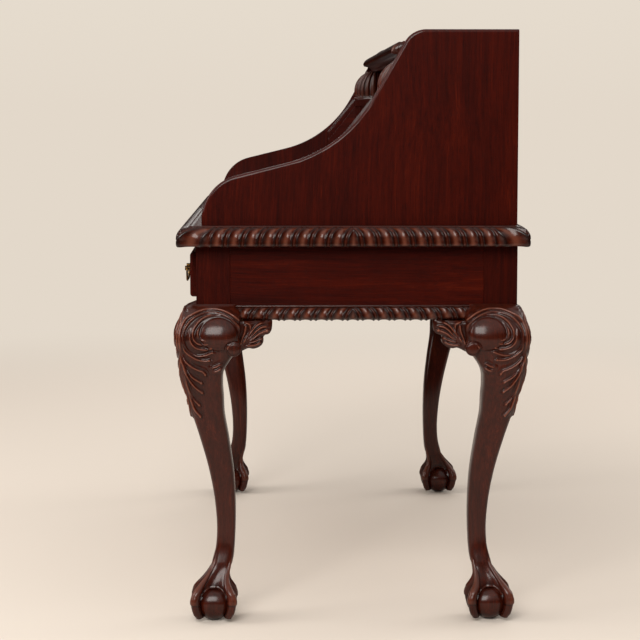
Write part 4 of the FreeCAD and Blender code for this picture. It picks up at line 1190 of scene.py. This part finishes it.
# lengths of the stage and the lamps in metres; the lamps' rows: name, place, side and watts
stage = {"near": "#cdc3b9", "far": "#e3d8ca", "above": "#e8dfd1", "fade": (2.3, 4.4), "size": 60.0,
         "topLight": "#fffbf5", "horizon": "#050505", "lift": (0.12, 0.85), "rise": (0.0, 0.12),
         "lampColour": "#fffcf7", "lampTarget": (0, 0, 0.55),
         "lamps": [("key", (4.3, -1.0, 2.9), 2.4, 196), ("left", (0.8, -3.8, 2.4), 2.2, 84),
                   ("right", (-1.4, 3.7, 2.4), 2.2, 50), ("back", (-3.9, 0.6, 2.4), 2.4, 32)]}


def placeItem(name, data, place, forward):
    # a camera or lamp at a place, looking forward
    item = bpy.data.objects.new(name, data)
    item.location = place
    item.rotation_euler = forward.to_track_quat("-Z", "Y").to_euler()
    bpy.context.scene.collection.objects.link(item)
    return item


def makeFloor():
    # pale floor: lit like paper near the desk, and fading into the backdrop colour further out
    look = stage
    mesh = bpy.data.meshes.new("floor")
    half = look["size"] / 2
    mesh.from_pydata([(-half, -half, 0), (half, -half, 0), (half, half, 0), (-half, half, 0)], [],
                     [(0, 1, 2, 3)])
    item = bpy.data.objects.new("floor", mesh)
    bpy.context.scene.collection.objects.link(item)
    material, tree = newMaterial("paper_sweep")
    place = addNode(tree, "TexCoord").outputs["Object"]
    distance = addNode(tree, "VectorMath", {0: place}, operation="LENGTH").outputs["Value"]
    fade = levelled(tree, distance, look["fade"], interpolation_type="SMOOTHSTEP")
    rays = addNode(tree, "LightPath").outputs
    paper = addNode(tree, "BsdfPrincipled", {"Base Color": hexLinear(look["near"]), "Roughness": 0.8,
                                             "Specular IOR Level": 0.1}).outputs[0]
    glow = addNode(tree, "Emission", {"Color": hexLinear(look["far"]),
                                      "Strength": rays["Is Camera Ray"]}).outputs[0]
    mixed = addNode(tree, "MixShader", {0: fade, 1: paper, 2: glow}).outputs[0]
    addNode(tree, "OutputMaterial", {"Surface": mixed})
    mesh.materials.append(material)


def makeWorld():
    # the camera sees the backdrop colour; the desk is lit by a pale ceiling that darkens to the horizon
    look = stage
    world = bpy.data.worlds.new("studio")
    bpy.context.scene.world = world
    world.use_nodes = True
    tree = world.node_tree
    tree.nodes.clear()
    rays = addNode(tree, "LightPath").outputs
    up = addNode(tree, "SeparateXYZ", {"Vector": addNode(tree, "TexCoord").outputs["Generated"]}).outputs[2]
    lift = levelled(tree, up, look["lift"], interpolation_type="SMOOTHSTEP")
    sky = mixColours(tree, lift, hexLinear(look["horizon"]), hexLinear(look["topLight"]))
    rise = levelled(tree, up, look["rise"])
    backdrop = mixColours(tree, rise, hexLinear(look["far"]), hexLinear(look["above"]))
    seen = addNode(tree, "Background", {"Color": backdrop, "Strength": 1.0}).outputs[0]
    light = addNode(tree, "Background", {"Color": sky, "Strength": 1.0}).outputs[0]
    mixed = addNode(tree, "MixShader", {0: rays["Is Camera Ray"], 1: light, 2: seen}).outputs[0]
    addNode(tree, "OutputWorld", {"Surface": mixed})


def addLamp(name, place, side, watts):
    lamp = bpy.data.lights.new(name, "AREA")
    lamp.shape = "SQUARE"
    lamp.size = side
    lamp.energy = watts
    lamp.color = hexLinear(stage["lampColour"])[:3]
    placeItem(name, lamp, place, Vector(stage["lampTarget"]) - Vector(place))


makeFloor()
makeWorld()
for lamp in stage["lamps"]:
    addLamp(*lamp)

# metres, and degrees down and towards +Y from looking along -X
view = {"place": (4.310, -0.1309, 0.985), "lensMm": 109.65, "down": 6.265, "turn": 1.081}
camera = bpy.data.cameras.new("camera")
camera.lens = view["lensMm"]
turn = math.radians(view["turn"])
down = math.radians(view["down"])
forward = Vector((-math.cos(turn) * math.cos(down), math.sin(turn) * math.cos(down), -math.sin(down)))
bpy.context.scene.camera = placeItem("camera", camera, view["place"], forward)
bpy.context.scene.view_settings.view_transform = "Standard"
print("stage set")
